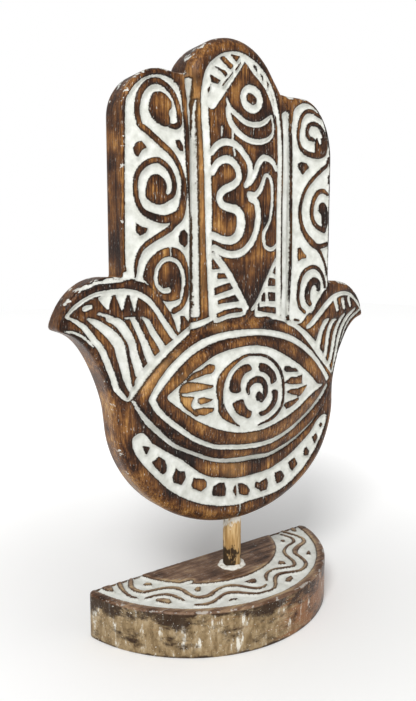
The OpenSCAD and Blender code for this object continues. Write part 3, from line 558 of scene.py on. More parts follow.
PALM = (
    # Groove below the lid
    sunk((-64, 73.3, 1.2), (-60.5, 68, 1.4), (-55.5, 61.7, 2.4), (-50, 56.3, 2.2), (-45, 51.6, 2),
         (-40, 47.8, 2), (-30, 42.8, 2), (-20, 38.3, 2.2), (-10, 35.8, 3), (0, 34.7, 3.8),
         (10, 34.3, 3.6), (20, 33.7, 3), (30, 36, 3), (40, 39.8, 2.8), (50, 45.3, 2.6), (57, 50.5, 2),
         (61, 55, 1.4)),
    # Crescent with its row of blocks
    sunk((-64, 54), (-63, 49), (-60, 44), (-56, 39), (-50, 32.5), (-44, 26.5), (-37, 21.5), (-30, 17.5),
         (-22, 14), (-14, 11.5), (-8, 10.3), (0, 9.3), (10, 9.8), (20, 10), (28, 11), (36, 13.5),
         (44, 18), (51, 23.5), (57, 30), (62, 37), (65.5, 43.5), (66.8, 49), (65.5, 50.5), (62, 49.5),
         (58, 46.5), (53, 41), (46, 36), (38, 31), (30, 27.5), (22, 25), (12, 24.2), (3, 24),
         (-5, 24.8), (-12, 26.5), (-18, 28), (-24, 31), (-30, 35.5), (-36, 40.3), (-42, 44), (-48, 48),
         (-53, 51.5), (-56, 55.5), (-59, 57.3), (-62.5, 56.3)),
    chip((-58.5, 51), (-54.2, 49.5), (-56.3, 45.8)),
    chip((-53.3, 42), (-51, 43), (-49.5, 44.3), (-45.8, 41.5), (-44.8, 38.5), (-45.3, 35.5),
         (-47.3, 34.8), (-51, 38.5)),
    chip((-41.5, 32.5), (-39.3, 36.5), (-37.5, 34.5), (-34, 33.8), (-33.6, 30.5), (-36, 27.2),
         (-41, 29.5)),
    chip((-30, 26), (-28.8, 29.5), (-26, 28.5), (-22, 27.5), (-20.3, 25.5), (-20.5, 23), (-24, 21.3),
         (-29, 24)),
    chip((-16.8, 19.5), (-16, 22.5), (-12, 23.5), (-9, 23), (-7.8, 19.5), (-8.3, 15.8), (-11, 16),
         (-16.3, 17.5)),
    chip((-3.3, 17.5), (-1.5, 21.3), (-0.8, 17), (-1.2, 13.8)),
    chip((0, 20.8), (3, 20.5), (6.5, 18.5), (8.5, 15.5), (7, 13), (4.5, 13.5), (1, 15)),
    chip((11.8, 16.5), (12.5, 19.5), (15, 18.5), (20.5, 20), (21.8, 17), (20.5, 13.5), (16.5, 13.2),
         (14.5, 15)),
    chip((26.5, 22), (31, 22.5), (34, 19), (32, 16), (28.5, 15.3), (27, 17.5)),
    chip((36.7, 26), (41.5, 28.2), (44, 24), (39.8, 20.7), (38, 22.5)),
    chip((48.3, 31), (50.5, 33.3), (53, 30), (52, 27.8), (48.5, 28.2)),
    chip((55, 38), (58.5, 40), (60, 37.5), (57.3, 33.8), (56, 36)),
    chip((61, 44.8), (62.5, 45.8), (63.8, 44.5), (62.3, 42.5)),
    # Cracks at the bottom
    sunk((1.8, 10, 1), (1.5, 6, 0.9), (1, 2, 0.6)),
    sunk((18, 10, 0.7), (19, 6, 0.5)),
)

CARVING = PALM + LEFT_THUMB + RIGHT_THUMB + LEFT_FINGER + RIGHT_FINGER + MIDDLE_FINGER + EYE

# Outer edge of the raised lid, from its left corner over the top and back below
LID_EDGE = (
    (-64, 73.6), (-60, 78.5), (-57, 82.5), (-52, 87), (-46, 91.5), (-40, 96), (-33, 100.5),
    (-28.5, 103.5), (-22, 107.5), (-15, 109), (-8, 109.3), (-4.8, 107.8), (0, 107.5), (3, 109.5),
    (6, 111.5), (9, 110), (15, 107), (20, 108.3), (26, 106.5), (34, 104.5), (40, 102.5), (45, 99),
    (50, 94), (55, 89), (60, 84), (65, 78), (68.5, 73.5), (66.5, 66), (63.5, 59.5), (61, 55),
    (57, 50.5), (50, 45.3), (40, 39.8), (30, 36), (20, 33.7), (10, 34.3), (0, 34.7), (-10, 35),
    (-20, 37.5), (-30, 42.6), (-40, 47.6), (-45, 51.3), (-50, 56.3), (-55.5, 61.7), (-60.5, 68),
)

# The foot's band, across and away: two waves cut by hand, with gaps, and a rough dot in each bay
FOOT_MARKS = (
    sunk((-31.5, 11.5), (-28, 11.2), (-25, 10.2), (-26.5, 8.2), (-29.5, 8.5), (-32, 9.8)),
    # Inner wave, left and right of its gap
    proud((-49.5, 33, 2.4), (-52.5, 27.5, 2.6), (-54.8, 21.8, 2.8), (-52.8, 15.4, 2.6),
          (-47.9, 13.5, 2), (-42.1, 12.3, 2.1), (-37.6, 9.8, 2.4), (-35.3, 6.4, 2.7), (-34.7, 1.6, 2.6),
          (-34.2, -3.6, 2.2), (-31.8, -6.7, 2.6), (-27.1, -7.6, 2.8), (-22.1, -5.9, 2.4),
          (-17.1, -4.7, 1.9), (-12.1, -5.7, 2.1), (-8.4, -8.8, 2.3), (-5.8, -12.9, 2.1),
          (-2.5, -16.3, 2), (1.2, -17, 1.6), (4, -16, 0.9)),
    proud((7, -13, 1), (10, -8.8, 2.1), (13.8, -6.2, 1.8), (19.2, -5.3, 1.5), (25, -7.2, 1.6),
          (30.4, -8.5, 1.9), (33.8, -5.7, 2.1), (35.7, -0.1, 2.1), (37.2, 5.3, 2), (40.2, 9.4, 1.8),
          (46, 12.9, 1.6), (52.1, 14.6, 1.7), (55.3, 17.6, 2.1), (56, 21.6, 1.7), (54.8, 26.4, 1.6),
          (54.4, 28, 0.9)),
    # Outer wave, in its three pieces
    proud((-56.8, 33, 3), (-59.2, 25.5, 2.4), (-60, 19, 1.8), (-59.4, 14.1, 1.5), (-57.8, 11.5, 0.8)),
    proud((-54.8, 8.7, 0.8), (-47.9, 7.8, 1.7), (-43.4, 5.2, 2.1), (-41.2, 0.7, 2.2),
          (-40.1, -4.8, 0.9)),
    proud((-38.2, -11.2, 1), (-34.2, -13.6, 2), (-29.6, -14.1, 2.1), (-24.6, -12.6, 1.9),
          (-18.8, -11.2, 2.2), (-14.2, -13.2, 2.5), (-10.4, -17.1, 2), (-6.2, -20.4, 1.4),
          (0, -21.7, 1.3), (4.2, -21.5, 1.4), (7.6, -19.2, 1.8), (11.2, -14.9, 2.1), (14.6, -12.1, 2.4),
          (19.2, -11.4, 2.3), (23.8, -13, 2.1), (30, -14.6, 2), (35.2, -12.9, 2), (39.5, -9, 2.1),
          (41.6, -2.6, 2.2), (42.7, 2.4, 2.6), (46, 6.1, 3.3), (51.8, 9, 3), (57.6, 11, 2.6),
          (60.7, 14.8, 2.3), (61.2, 20, 1.8), (59.6, 26.8, 2), (57.6, 33, 2.6)),
    # Inner dots
    chip((-48.6, 21.6), (-46.2, 22.6), (-43.9, 20.9), (-45, 18.3), (-47.2, 19.8)),
    chip((-30, 1.6), (-27.2, 2.9), (-25.4, 2), (-27.8, -1.1), (-29.8, -0.7)),
    chip((-3.4, -6.7), (-1.2, -7.2), (1.5, -6.8), (3.4, -7.8), (2.6, -9.8), (0.6, -11.4), (-1.6, -9.8)),
    chip((25.4, -1.7), (28.2, 0.8), (30, -1.5), (28.8, -4.3), (26.2, -3.4)),
    chip((47.3, 20.2), (48.9, 21.8), (50.4, 20.3), (49.4, 18.4), (47.9, 18.5)),
    # Outer dots
    chip((-68.4, 33), (-62, 33), (-63.2, 27), (-64.2, 24), (-66.6, 26.4)),
    chip((-51.9, 3), (-50.6, 4.9), (-47.2, 3.3), (-45.4, 0.8), (-46.2, -2.3), (-48.3, -3),
         (-49.8, 0.2)),
    proud((-21.7, -17.9, 1), (-19.8, -17.9, 1.3), (-17.8, -18.8, 0.7)),
    chip((14.4, -19.2), (17.4, -17), (21.2, -16.5), (20.2, -19.2), (15.6, -21.3)),
    chip((47.3, -1.8), (49.3, -0.2), (51.8, 0.8), (50.5, -1.8), (48.8, -3.6)),
    chip((64.4, 30), (66, 33), (69, 33), (67.2, 27.4), (65, 25.2), (64, 27.4)),
)




@dataclass
class Shell:
    """A closed mesh in the making: points in millimetres, faces as corner lists, and point values."""

    points: np.ndarray
    quads: np.ndarray
    triangles: np.ndarray
    values: dict[str, np.ndarray]

    def to_object(self, name: str) -> bpy.types.Object:
        """Turns the shell into a smooth-shaded object in metres.

        Args:
            name: the object's name.

        Returns:
            The new object, linked to the scene.
        """
        mesh = bpy.data.meshes.new(name)
        corners = np.concatenate([self.quads.ravel(), self.triangles.ravel()]).astype(np.int32)
        sizes = np.concatenate([np.full(len(self.quads), 4), np.full(len(self.triangles), 3)])
        starts = np.concatenate([[0], np.cumsum(sizes)[:-1]]).astype(np.int32)
        mesh.vertices.add(len(self.points))
        mesh.vertices.foreach_set("co", (self.points * MM).astype(np.float32).ravel())
        mesh.loops.add(len(corners))
        mesh.loops.foreach_set("vertex_index", corners)
        mesh.polygons.add(len(starts))
        mesh.polygons.foreach_set("loop_start", starts)
        mesh.polygons.foreach_set("use_smooth", np.ones(len(starts), bool))
        for key, numbers in self.values.items():
            layer = mesh.attributes.new(key, "FLOAT", "POINT")
            layer.data.foreach_set("value", numbers.astype(np.float32))
        mesh.update(calc_edges=True)
        mesh.validate()
        made = bpy.data.objects.new(name, mesh)
        bpy.context.scene.collection.objects.link(made)
        return made


def bridge(first: int, second: int, count: int) -> np.ndarray:
    """Quads between two closed rings of count points that start at the rows first and second."""
    i = np.arange(count)
    j = (i + 1) % count
    return np.stack([first + i, first + j, second + j, second + i], axis=1)


# Share of a bulge's radius by which its line may be moved in, and how far along the line that counts
ROOM_SHARE = 0.75
ROOM_RUN = 5.0
# A grid's points stay this share of a cell from the line round it
GRID_CLEAR = 0.45
# Points closer than this count as one
WELD = 1e-7


def room(line: np.ndarray, most: np.ndarray | float) -> np.ndarray:
    """How far a closed line may be moved in without crossing itself: ROOM_SHARE of the radius of
    each bulge, the least of it within ROOM_RUN along the line, and never more than most.

    Args:
        line: the closed line, anticlockwise and evenly spaced.
        most: the wanted distance.

    Returns:
        The allowed distance at each point.
    """
    ahead = np.roll(line, -1, axis=0) - line
    heading = np.arctan2(ahead[:, 1], ahead[:, 0])
    turn = np.angle(np.exp(1j * (heading - np.roll(heading, 1))))
    step = np.hypot(*ahead.T).mean()
    limit = np.minimum(ROOM_SHARE * step / np.maximum(turn, 1e-4), most)
    reach = int(round(ROOM_RUN / step))
    near = np.stack([np.roll(limit, k) for k in range(-reach, reach + 1)])
    least = near.min(axis=0)
    return np.stack([np.roll(least, k) for k in range(-reach // 2, reach // 2 + 1)]).mean(axis=0)


def filled(ring: np.ndarray, spacing: float) -> tuple[np.ndarray, np.ndarray, np.ndarray]:
    """Fills a closed line with a square grid, and joins grid and line with a band of triangles.

    Args:
        ring: the closed line, anticlockwise.
        spacing: width of a grid cell.

    Returns:
        The points, the ring's first, then the grid's; the full cells as quads; the band's triangles.
    """
    low = ring.min(axis=0)
    count = np.ceil(np.ptp(ring, axis=0) / spacing).astype(int) + 1
    across, up = np.meshgrid(np.arange(count[0]), np.arange(count[1]), indexing="ij")
    places = low + np.stack([across.ravel(), up.ravel()], axis=1) * spacing
    depth = np.zeros(len(places))
    within = inside(places, ring)
    depth[within] = line_distance(places[within], ring, closed=True)
    usable = (depth > GRID_CLEAR * spacing).reshape(count)
    full = usable[:-1, :-1] & usable[1:, :-1] & usable[:-1, 1:] & usable[1:, 1:]
    numbers = np.full(count, -1)
    numbers[usable] = len(ring) + np.arange(usable.sum())
    corner = [numbers[:-1, :-1], numbers[1:, :-1], numbers[1:, 1:], numbers[:-1, 1:]]
    cells = np.stack([c[full] for c in corner], axis=1)
    points = np.vstack([ring, places[usable.ravel()]])
    sides = np.vstack([cells[:, [k, (k + 1) % 4]] for k in range(4)])
    keys, seen = np.unique(np.sort(sides, axis=1), axis=0, return_counts=True)
    border = keys[seen == 1]
    loose = np.setdiff1d(numbers[usable], cells.ravel())
    used = np.concatenate([np.arange(len(ring)), np.unique(np.concatenate([border.ravel(), loose]))])
    place_of = np.full(len(points), -1)
    place_of[used] = np.arange(len(used))
    turn = np.arange(len(ring))
    edges = np.vstack([np.stack([turn, (turn + 1) % len(ring)], axis=1), place_of[border]])
    found = delaunay_2d_cdt([Vector(p) for p in points[used]], edges.tolist(), [], 0, WELD)
    source = used[np.array([origin[0] for origin in found[3]])]
    band = source[np.array(found[2])]
    middle = points[band].mean(axis=1)
    cell = np.clip(((middle - low) / spacing).astype(int), 0, count - 2)
    keep = inside(middle, ring) & ~full[cell[:, 0], cell[:, 1]]
    return points, cells, band[keep]


@dataclass(frozen=True)
class CarvedSlab:
    """Board with a carved front, sawn to an outline, drawn as (across, up, depth below the front).

    The edge is walked in rings from the back round to the front: ring k lies at its own inset
    from the outline and at its own depth. Inside the last ring the front is a square grid whose
    depth is the face's own, plus the cut of the carving.
    """

    outline: np.ndarray
    reach: np.ndarray
    face: Callable[[np.ndarray, np.ndarray], np.ndarray]
    field: Callable[[np.ndarray], np.ndarray]
    back: Callable[[np.ndarray], np.ndarray]
    back_round: float
    cut: float
    spacing: float
    wall_rows: int = 8
    # Shares of reach at which the front's rings lie, from the outline inwards
    shares: tuple[float, ...] = (0.0, 0.08, 0.25, 0.5)
    # Width of a groove's sloping wall, and the wear along a ridge's edge
    wall: float = 1.1
    wear: float = 0.38
    wear_run: float = 0.75
    # Rings of the rounded back edge, and the width of a cell of the plain back
    round_rows: int = 4
    back_spacing: float = 5.0

    def carved_depth(self, places: np.ndarray, edge: np.ndarray, field: np.ndarray) -> np.ndarray:
        """Depth of the front: the face, plus cut times 1 - (1 - t)^2 where t is how far a place
        is down the groove's wall, plus wear times exp(-field / wear_run) on top of a ridge's edge.

        Args:
            places: the places on the front.
            edge: how far each is from the outline.
            field: the carving's distance at each.

        Returns:
            The depth at each place.
        """
        t = np.clip(-field / self.wall, 0.0, 1.0)
        rounded = self.wear * np.exp(-np.maximum(field, 0.0) / self.wear_run)
        return self.face(places, edge) + self.cut * (1 - (1 - t) ** 2) + rounded

    def shell(self) -> Shell:
        """Works out the closed mesh of the board, with the point values carve and rim."""
        normal = outward(self.outline)
        n = len(self.outline)
        rings, depths, rims = [], [], []
        front_edge = self.face(self.outline, np.zeros(n))
        rear = self.back(self.outline)
        rear_inset = room(self.outline, self.back_round)
        front_inset = room(self.outline, self.reach)
        for turn in np.linspace(0.0, 0.5, self.round_rows) * np.pi:
            rings.append(self.outline - normal * (rear_inset * (1 - np.sin(turn)))[:, None])
            depths.append(rear - self.back_round * (1 - np.cos(turn)))
            rims.append(np.full(n, -REACH))
        for share in np.linspace(0.0, 1.0, self.wall_rows + 1)[1:-1]:
            rings.append(self.outline)
            depths.append((rear - self.back_round) * (1 - share) + front_edge * share)
            rims.append(front_edge - depths[-1])
        fields = [np.full(n, REACH)] * len(rings)
        for share in self.shares:
            inset = share * front_inset
            rings.append(self.outline - normal * inset[:, None])
            fields.append(self.field(rings[-1]) if share else np.full(n, REACH))
            depths.append(self.carved_depth(rings[-1], inset, fields[-1]))
            rims.append(inset)
        last = n * (len(rings) - 1)
        walls = np.vstack([bridge(last - n * (k + 1), last - n * k, n) for k in range(len(rings) - 1)])
        inner, cells, band = filled(rings[-1], self.spacing)
        grid = inner[n:]
        edge = line_distance(grid, self.outline, closed=True)
        grid_field = self.field(grid)
        rear_points, rear_cells, rear_band = filled(rings[0], self.back_spacing)
        rear_grid = rear_points[n:]
        rear_start = n * len(rings) + len(grid)
        rear_map = np.concatenate([np.arange(n), rear_start + np.arange(len(rear_grid))])
        flat = np.vstack(rings + [grid, rear_grid])
        grid_depth = self.carved_depth(grid, edge, grid_field)
        depth = np.concatenate(depths + [grid_depth, self.back(rear_grid)])
        return Shell(
            points=np.column_stack([flat, depth]),
            quads=np.vstack([walls, cells + last, rear_map[rear_cells][:, ::-1]]),
            triangles=np.vstack([band + last, rear_map[rear_band][:, ::-1]]),
            values={
                "carve": np.concatenate(fields + [grid_field, np.full(len(rear_grid), REACH)]),
                "rim": np.concatenate(rims + [edge, np.full(len(rear_grid), -REACH)]),
            },
        )


def linear(tone: str) -> tuple[float, float, float, float]:
    """Turns an sRGB colour such as #c8b496 to linear red, green, blue and alpha."""
    shares = [int(tone[k:k + 2], 16) / 255 for k in (1, 3, 5)]
    return (*(s / 12.92 if s <= 0.04045 else ((s + 0.055) / 1.055) ** 2.4 for s in shares), 1.0)


def add(
    tree: bpy.types.NodeTree,
    kind: str,
    *values: object,
    out: str | None = None,
    stops: tuple[tuple[float, str], ...] = (),
    **settings: object,
) -> bpy.types.NodeSocket | None:
    """Adds a node with its settings and links.

    Args:
        tree: the node tree.
        kind: the node's type without its ShaderNode prefix.
        values: what goes to the node's active inputs in order: a socket, a number, a vector, an
            sRGB colour, or None to leave one alone.
        out: name of the wanted output, or None for the first active one.
        stops: places and sRGB colours of a colour ramp.
        settings: the node's own properties.

    Returns:
        The wanted output of the new node, or None where it has no outputs.
    """
    made = tree.nodes.new("ShaderNode" + kind)
    for name, value in settings.items():
        setattr(made, name, value)
    if stops:
        elements = made.color_ramp.elements
        elements[0].position, elements[0].color = stops[0][0], linear(stops[0][1])
        elements[1].position, elements[1].color = stops[-1][0], linear(stops[-1][1])
        for spot, tone in stops[1:-1]:
            elements.new(spot).color = linear(tone)
    for socket, value in zip([s for s in made.inputs if s.enabled], values):
        if isinstance(value, bpy.types.NodeSocket):
            tree.links.new(value, socket)
        elif value is not None:
            socket.default_value = linear(value) if isinstance(value, str) else value
    return made.outputs[out] if out else next((s for s in made.outputs if s.enabled), None)


@dataclass(frozen=True)
class Speckle:
    """A noise: features for each millimetre along each axis, its finer layers, their strength, and
    a shift that gives a second pattern of the same kind."""

    scale: tuple[float, float, float]
    layers: float
    strength: float
    shift: tuple[float, float, float] = (0.0, 0.0, 0.0)

    def on(self, tree: bpy.types.NodeTree, place: bpy.types.NodeSocket) -> bpy.types.NodeSocket:
        """Adds the noise on coordinates in millimetres."""
        stretched = add(tree, "Mapping", place, self.shift, None, self.scale)
        return add(tree, "TexNoise", stretched, 1.0, self.layers, self.strength)


@dataclass(frozen=True)
class Step:
    """A change of a value: where it starts and ends, and the results at both."""

    start: float
    end: float
    first: float
    last: float
    soft: bool = False

    def on(self, tree: bpy.types.NodeTree, value: bpy.types.NodeSocket) -> bpy.types.NodeSocket:
        """Adds the step, held at its first and last results beyond both ends."""
        kind = "SMOOTHSTEP" if self.soft else "LINEAR"
        ends = (self.start, self.end, self.first, self.last)
        return add(tree, "MapRange", value, *ends, interpolation_type=kind)


def total(tree: bpy.types.NodeTree, *terms: bpy.types.NodeSocket) -> bpy.types.NodeSocket:
    """Adds up two or more values."""
    result = terms[0]
    for term in terms[1:]:
        result = add(tree, "Math", result, term, operation="ADD")
    return result


def times(tree: bpy.types.NodeTree, value: bpy.types.NodeSocket, factor: float) -> bpy.types.NodeSocket:
    """Multiplies a value."""
    return add(tree, "Math", value, factor, operation="MULTIPLY")


def mixed(
    tree: bpy.types.NodeTree,
    share: bpy.types.NodeSocket,
    under: bpy.types.NodeSocket,
    over: bpy.types.NodeSocket | str,
) -> bpy.types.NodeSocket:
    """Lays one colour over another, by a share from 0 to 1."""
    return add(tree, "Mix", share, under, over, data_type="RGBA")


def point_value(tree: bpy.types.NodeTree, name: str) -> bpy.types.NodeSocket:
    """Reads a value that the mesh keeps at its points."""
    return add(tree, "Attribute", attribute_name=name, out="Fac")


def millimetres(tree: bpy.types.NodeTree) -> bpy.types.NodeSocket:
    """The object's own coordinates in millimetres."""
    return add(tree, "VectorMath", add(tree, "TexCoord", out="Object"), 1 / MM, operation="SCALE")


# Refraction of wood and chalk, which when dry mirror less than a polished surface
WOOD_IOR = 1.5
DRY_SPECULAR = 0.15


@dataclass(frozen=True)
class Finish:
    """What every finish of the ornament shares: its name, an empty material and the shader."""

    name: str

    def start(self) -> tuple[bpy.types.Material, bpy.types.NodeTree, bpy.types.NodeSocket]:
        """Makes the empty material.

        Returns:
            The material, its node tree, and the object's own coordinates in millimetres.
        """
        material = bpy.data.materials.new(self.name)
        material.use_nodes = True
        tree = material.node_tree
        tree.nodes.clear()
        return material, tree, millimetres(tree)

    def close(
        self,
        tree: bpy.types.NodeTree,
        colour: bpy.types.NodeSocket,
        roughness: bpy.types.NodeSocket,
        height: bpy.types.NodeSocket,
        relief: float,
    ) -> None:
        """Joins colour, roughness and relief in the shader.

        Args:
            tree: the material's node tree.
            colour: the base colour.
            roughness: the roughness.
            height: the relief from 0 to 1.
            relief: depth of the relief in millimetres.
        """
        bump = add(tree, "Bump", 1.0, relief * MM)
        tree.links.new(height, bump.node.inputs["Height"])
        shader = add(tree, "BsdfPrincipled").node
        shader.inputs["IOR"].default_value = WOOD_IOR
        shader.inputs["Specular IOR Level"].default_value = DRY_SPECULAR
        for name, socket in (("Base Color", colour), ("Roughness", roughness), ("Normal", bump)):
            tree.links.new(socket, shader.inputs[name])
        add(tree, "OutputMaterial", shader.outputs[0])


@dataclass(frozen=True)
class WashedCarving(Finish):
    """Light tropical wood, stained brown, its cuts filled with white lime wash.

    The eye gets an open grain with long streaks, pores that hold some of the white, a dark line
    of stain along each cut, paler wood where a ridge was rubbed and where a highlight is painted
    on the lid, and chalky white with pores and with painted shade on each groove's wall.
    """

    stain: tuple[tuple[float, str], ...]
    wash: tuple[tuple[float, str], ...]
    # Dark line by a cut, and its cover over the distance from the edge
    line: str
    line_share: Step
    # Cover of the white in chips
    chipped: Step
    # What narrow ridges and broad ones add to the tone
    heart: Step
    rubbed_and_highlit_tone: str
    # Tone of open pores, also laid on the groove walls as painted shade
    pore_and_wall_shade: str
    grain: Speckle
    pores: Speckle
    # The stain's tone is partly streaks and partly patches, plus a share where it was rubbed and where
    # a highlight is painted on the lid
    streak_tone: float = 0.5
    patch_tone: float = 0.5
    patches: Speckle = Speckle((0.055, 0.055, 0.055), 4.0, 0.6)
    rub_and_highlight_tone: float = 0.12
    rub_and_highlight_cover: float = 0.5
    # Knife-cut edges wander by this much in all, in millimetres
    ragged: Speckle = Speckle((0.9, 0.9, 0.9), 3.0, 0.7)
    wander: float = 0.8
    # Steps over the distance from a cut's edge, in millimetres
    washed: Step = Step(0.02, -0.26, 0.0, 1.0, soft=True)
    # Painted shade on each groove's sloping wall, where the wash also lies thinner: the pore tone laid
    # over the white
    wall_shade_and_thin_wash: Step = Step(-0.2, -1.0, 0.16, 0.0)
    # Pores of the wood that hold wash, and pores that the wash left open
    filled_pore: Step = Step(0.66, 0.74, 0.0, 0.6)
    open_pore: Step = Step(0.32, 0.24, 0.0, 0.5)
    # White chips: more by the board's edge and where the surface faces up, none further in
    flakes: Speckle = Speckle((0.2, 0.2, 0.32), 4.0, 0.62)
    by_edge: Step = Step(1.6, 0.2, -0.06, 0.0)
    facing_up: Step = Step(0.1, 0.7, -0.02, 0.085)
    further_in: Step = Step(1.4, 2.4, 0.0, -0.2)
    # Chalky clouds in the wash, and shallow gouge marks under it
    cloud: Speckle = Speckle((0.2, 0.2, 0.2), 5.0, 0.6)
    gouged: Speckle = Speckle((0.33, 0.33, 0.33), 3.0, 0.55)
    # Roughness of wood and of wash, and their relief: streaks and pores, and its depth in all
    gloss: Step = Step(0.0, 1.0, 0.3, 0.75)
    streak_relief: float = 0.6
    pore_relief: float = 0.4
    relief: float = 0.4

    def stained(
        self,
        tree: bpy.types.NodeTree,
        place: bpy.types.NodeSocket,
        streak: bpy.types.NodeSocket,
        edge: bpy.types.NodeSocket,
    ) -> bpy.types.NodeSocket:
        """Colours the wood that was left standing.

        Args:
            tree: the material's node tree.
            place: coordinates in millimetres.
            streak: the grain.
            edge: distance from the nearest cut, with its wander.

        Returns:
            The colour.
        """
        wear_and_highlight = point_value(tree, "wear_and_highlight")
        tone = total(
            tree,
            times(tree, streak, self.streak_tone),
            times(tree, self.patches.on(tree, place), self.patch_tone),
            self.heart.on(tree, point_value(tree, "carve")),
            times(tree, wear_and_highlight, self.rub_and_highlight_tone),
        )
        brown = add(tree, "ValToRGB", tone, stops=self.stain)
        # Rubbed wood, and the painted highlight on the lid, take the pale tone
        brown = mixed(tree, times(tree, wear_and_highlight, self.rub_and_highlight_cover), brown, self.rubbed_and_highlit_tone)
        return mixed(tree, self.line_share.on(tree, edge), brown, self.line)

    def chips(self, tree: bpy.types.NodeTree, place: bpy.types.NodeSocket) -> bpy.types.NodeSocket:
        """Finds where white is left in chips: along the board's edge, and on what faces up."""
        rim = point_value(tree, "rim")
        up = add(tree, "SeparateXYZ", add(tree, "NewGeometry", out="Normal"), out="Z")
        share = total(
            tree,
            self.flakes.on(tree, place),
            self.by_edge.on(tree, add(tree, "Math", rim, operation="ABSOLUTE")),
            self.facing_up.on(tree, up),
            self.further_in.on(tree, rim),
        )
        return self.chipped.on(tree, share)

    def material(self) -> bpy.types.Material:
        """Makes the finish from the carving's distance and the board's grain."""
        material, tree, place = self.start()
        rough = self.ragged.on(tree, place)
        swing = add(tree, "Math", rough, self.wander, -self.wander / 2, operation="MULTIPLY_ADD")
        edge = total(tree, point_value(tree, "carve"), swing)
        white = self.washed.on(tree, edge)
        streak = self.grain.on(tree, place)
        dashes = self.pores.on(tree, place)
        chalk_tone = self.wash[1][1]
        brown = self.stained(tree, place, streak, edge)
        brown = mixed(tree, self.filled_pore.on(tree, dashes), brown, chalk_tone)
        brown = mixed(tree, self.chips(tree, place), brown, chalk_tone)
        chalk = add(tree, "ValToRGB", self.cloud.on(tree, place), stops=self.wash)
        # Painted shade, and thinner wash, on the wall just inside each cut
        chalk = mixed(tree, self.wall_shade_and_thin_wash.on(tree, edge), chalk, self.pore_and_wall_shade)
        chalk = mixed(tree, self.open_pore.on(tree, dashes), chalk, self.pore_and_wall_shade)
        colour = mixed(tree, white, brown, chalk)
        streaks = times(tree, streak, self.streak_relief)
        open_grain = total(tree, streaks, times(tree, dashes, self.pore_relief))
        gouged = self.gouged.on(tree, place)
        height = add(tree, "Mix", white, open_grain, gouged, data_type="FLOAT")
        self.close(tree, colour, self.gloss.on(tree, white), height, self.relief)
        return material


@dataclass(frozen=True)
class FootWood(Finish):
    """The foot's sawn half disc: stained and washed on top, bare and smeared round the side."""

    top: WashedCarving
    bare: tuple[tuple[float, str], ...]
    ruddy: str
    smear: str
    burnt: str
    streaks: Speckle = Speckle((0.3, 0.3, 0.13), 6.0, 0.68)
    # To the right the saw followed the grain, and the wood is ruddier
    along: Speckle = Speckle((0.05, 0.05, 0.7), 4.0, 0.65)
    to_right: Step = Step(-15.0, 25.0, -0.2, 0.16)
    ruddy_share: Step = Step(0.4, 0.62, 0.0, 0.8)
    # Smears of wash that ran down
    smears: Speckle = Speckle((0.3, 0.3, 0.1), 5.0, 0.66)
    smear_share: Step = Step(0.585, 0.66, 0.0, 0.85)
    # Dark stain in patches, and darker in a band under the rim and in a band along the floor, over the
    # distance below the top
    stains: Speckle = Speckle((0.07, 0.07, 0.13), 5.0, 0.7, shift=(7.0, 3.0, 0.0))
    under_rim: Step = Step(-11.0, -1.0, 0.0, 0.13, soft=True)
    at_floor: Step = Step(-21.5, -23.0, 0.0, 0.14, soft=True)
    burnt_share: Step = Step(0.5, 0.63, 0.0, 0.9)
    # White and dark specks
    specks: Speckle = Speckle((0.9, 0.9, 0.9), 3.0, 0.6)
    white_speck: Step = Step(0.66, 0.7, 0.0, 0.7)
    dark_speck: Step = Step(0.34, 0.3, 0.0, 0.8)
    on_side: Step = Step(0.15, -0.25, 0.0, 1.0)

    def side(self, tree: bpy.types.NodeTree, rim: bpy.types.NodeSocket) -> bpy.types.NodeSocket:
        """Colours the foot's side.

        Args:
            tree: the material's node tree.
            rim: distance from the top's edge, negative below it.

        Returns:
            The colour.
        """
        place = millimetres(tree)
        right = self.to_right.on(tree, add(tree, "SeparateXYZ", place))
        dark = total(
            tree, self.stains.on(tree, place), self.under_rim.on(tree, rim), self.at_floor.on(tree, rim)
        )
        specks = self.specks.on(tree, place)
        coats = (
            (self.ruddy_share, total(tree, self.along.on(tree, place), right), self.ruddy),
            (self.smear_share, self.smears.on(tree, place), self.smear),
            (self.burnt_share, dark, self.burnt),
            (self.white_speck, specks, self.smear),
            (self.dark_speck, specks, self.burnt),
        )
        colour = add(tree, "ValToRGB", self.streaks.on(tree, place), stops=self.bare)
        for step, value, tone in coats:
            colour = mixed(tree, step.on(tree, value), colour, tone)
        return colour

    def material(self) -> bpy.types.Material:
        """Makes the finish: the top's as on the hand, and bare smeared wood below the rim."""
        material = self.top.material()
        material.name = self.name
        tree = material.node_tree
        base = next(n for n in tree.nodes if n.type == "BSDF_PRINCIPLED").inputs["Base Color"]
        top_colour = base.links[0].from_socket
        rim = point_value(tree, "rim")
        side = self.side(tree, rim)
        tree.links.new(mixed(tree, self.on_side.on(tree, rim), top_colour, side), base)
        return material


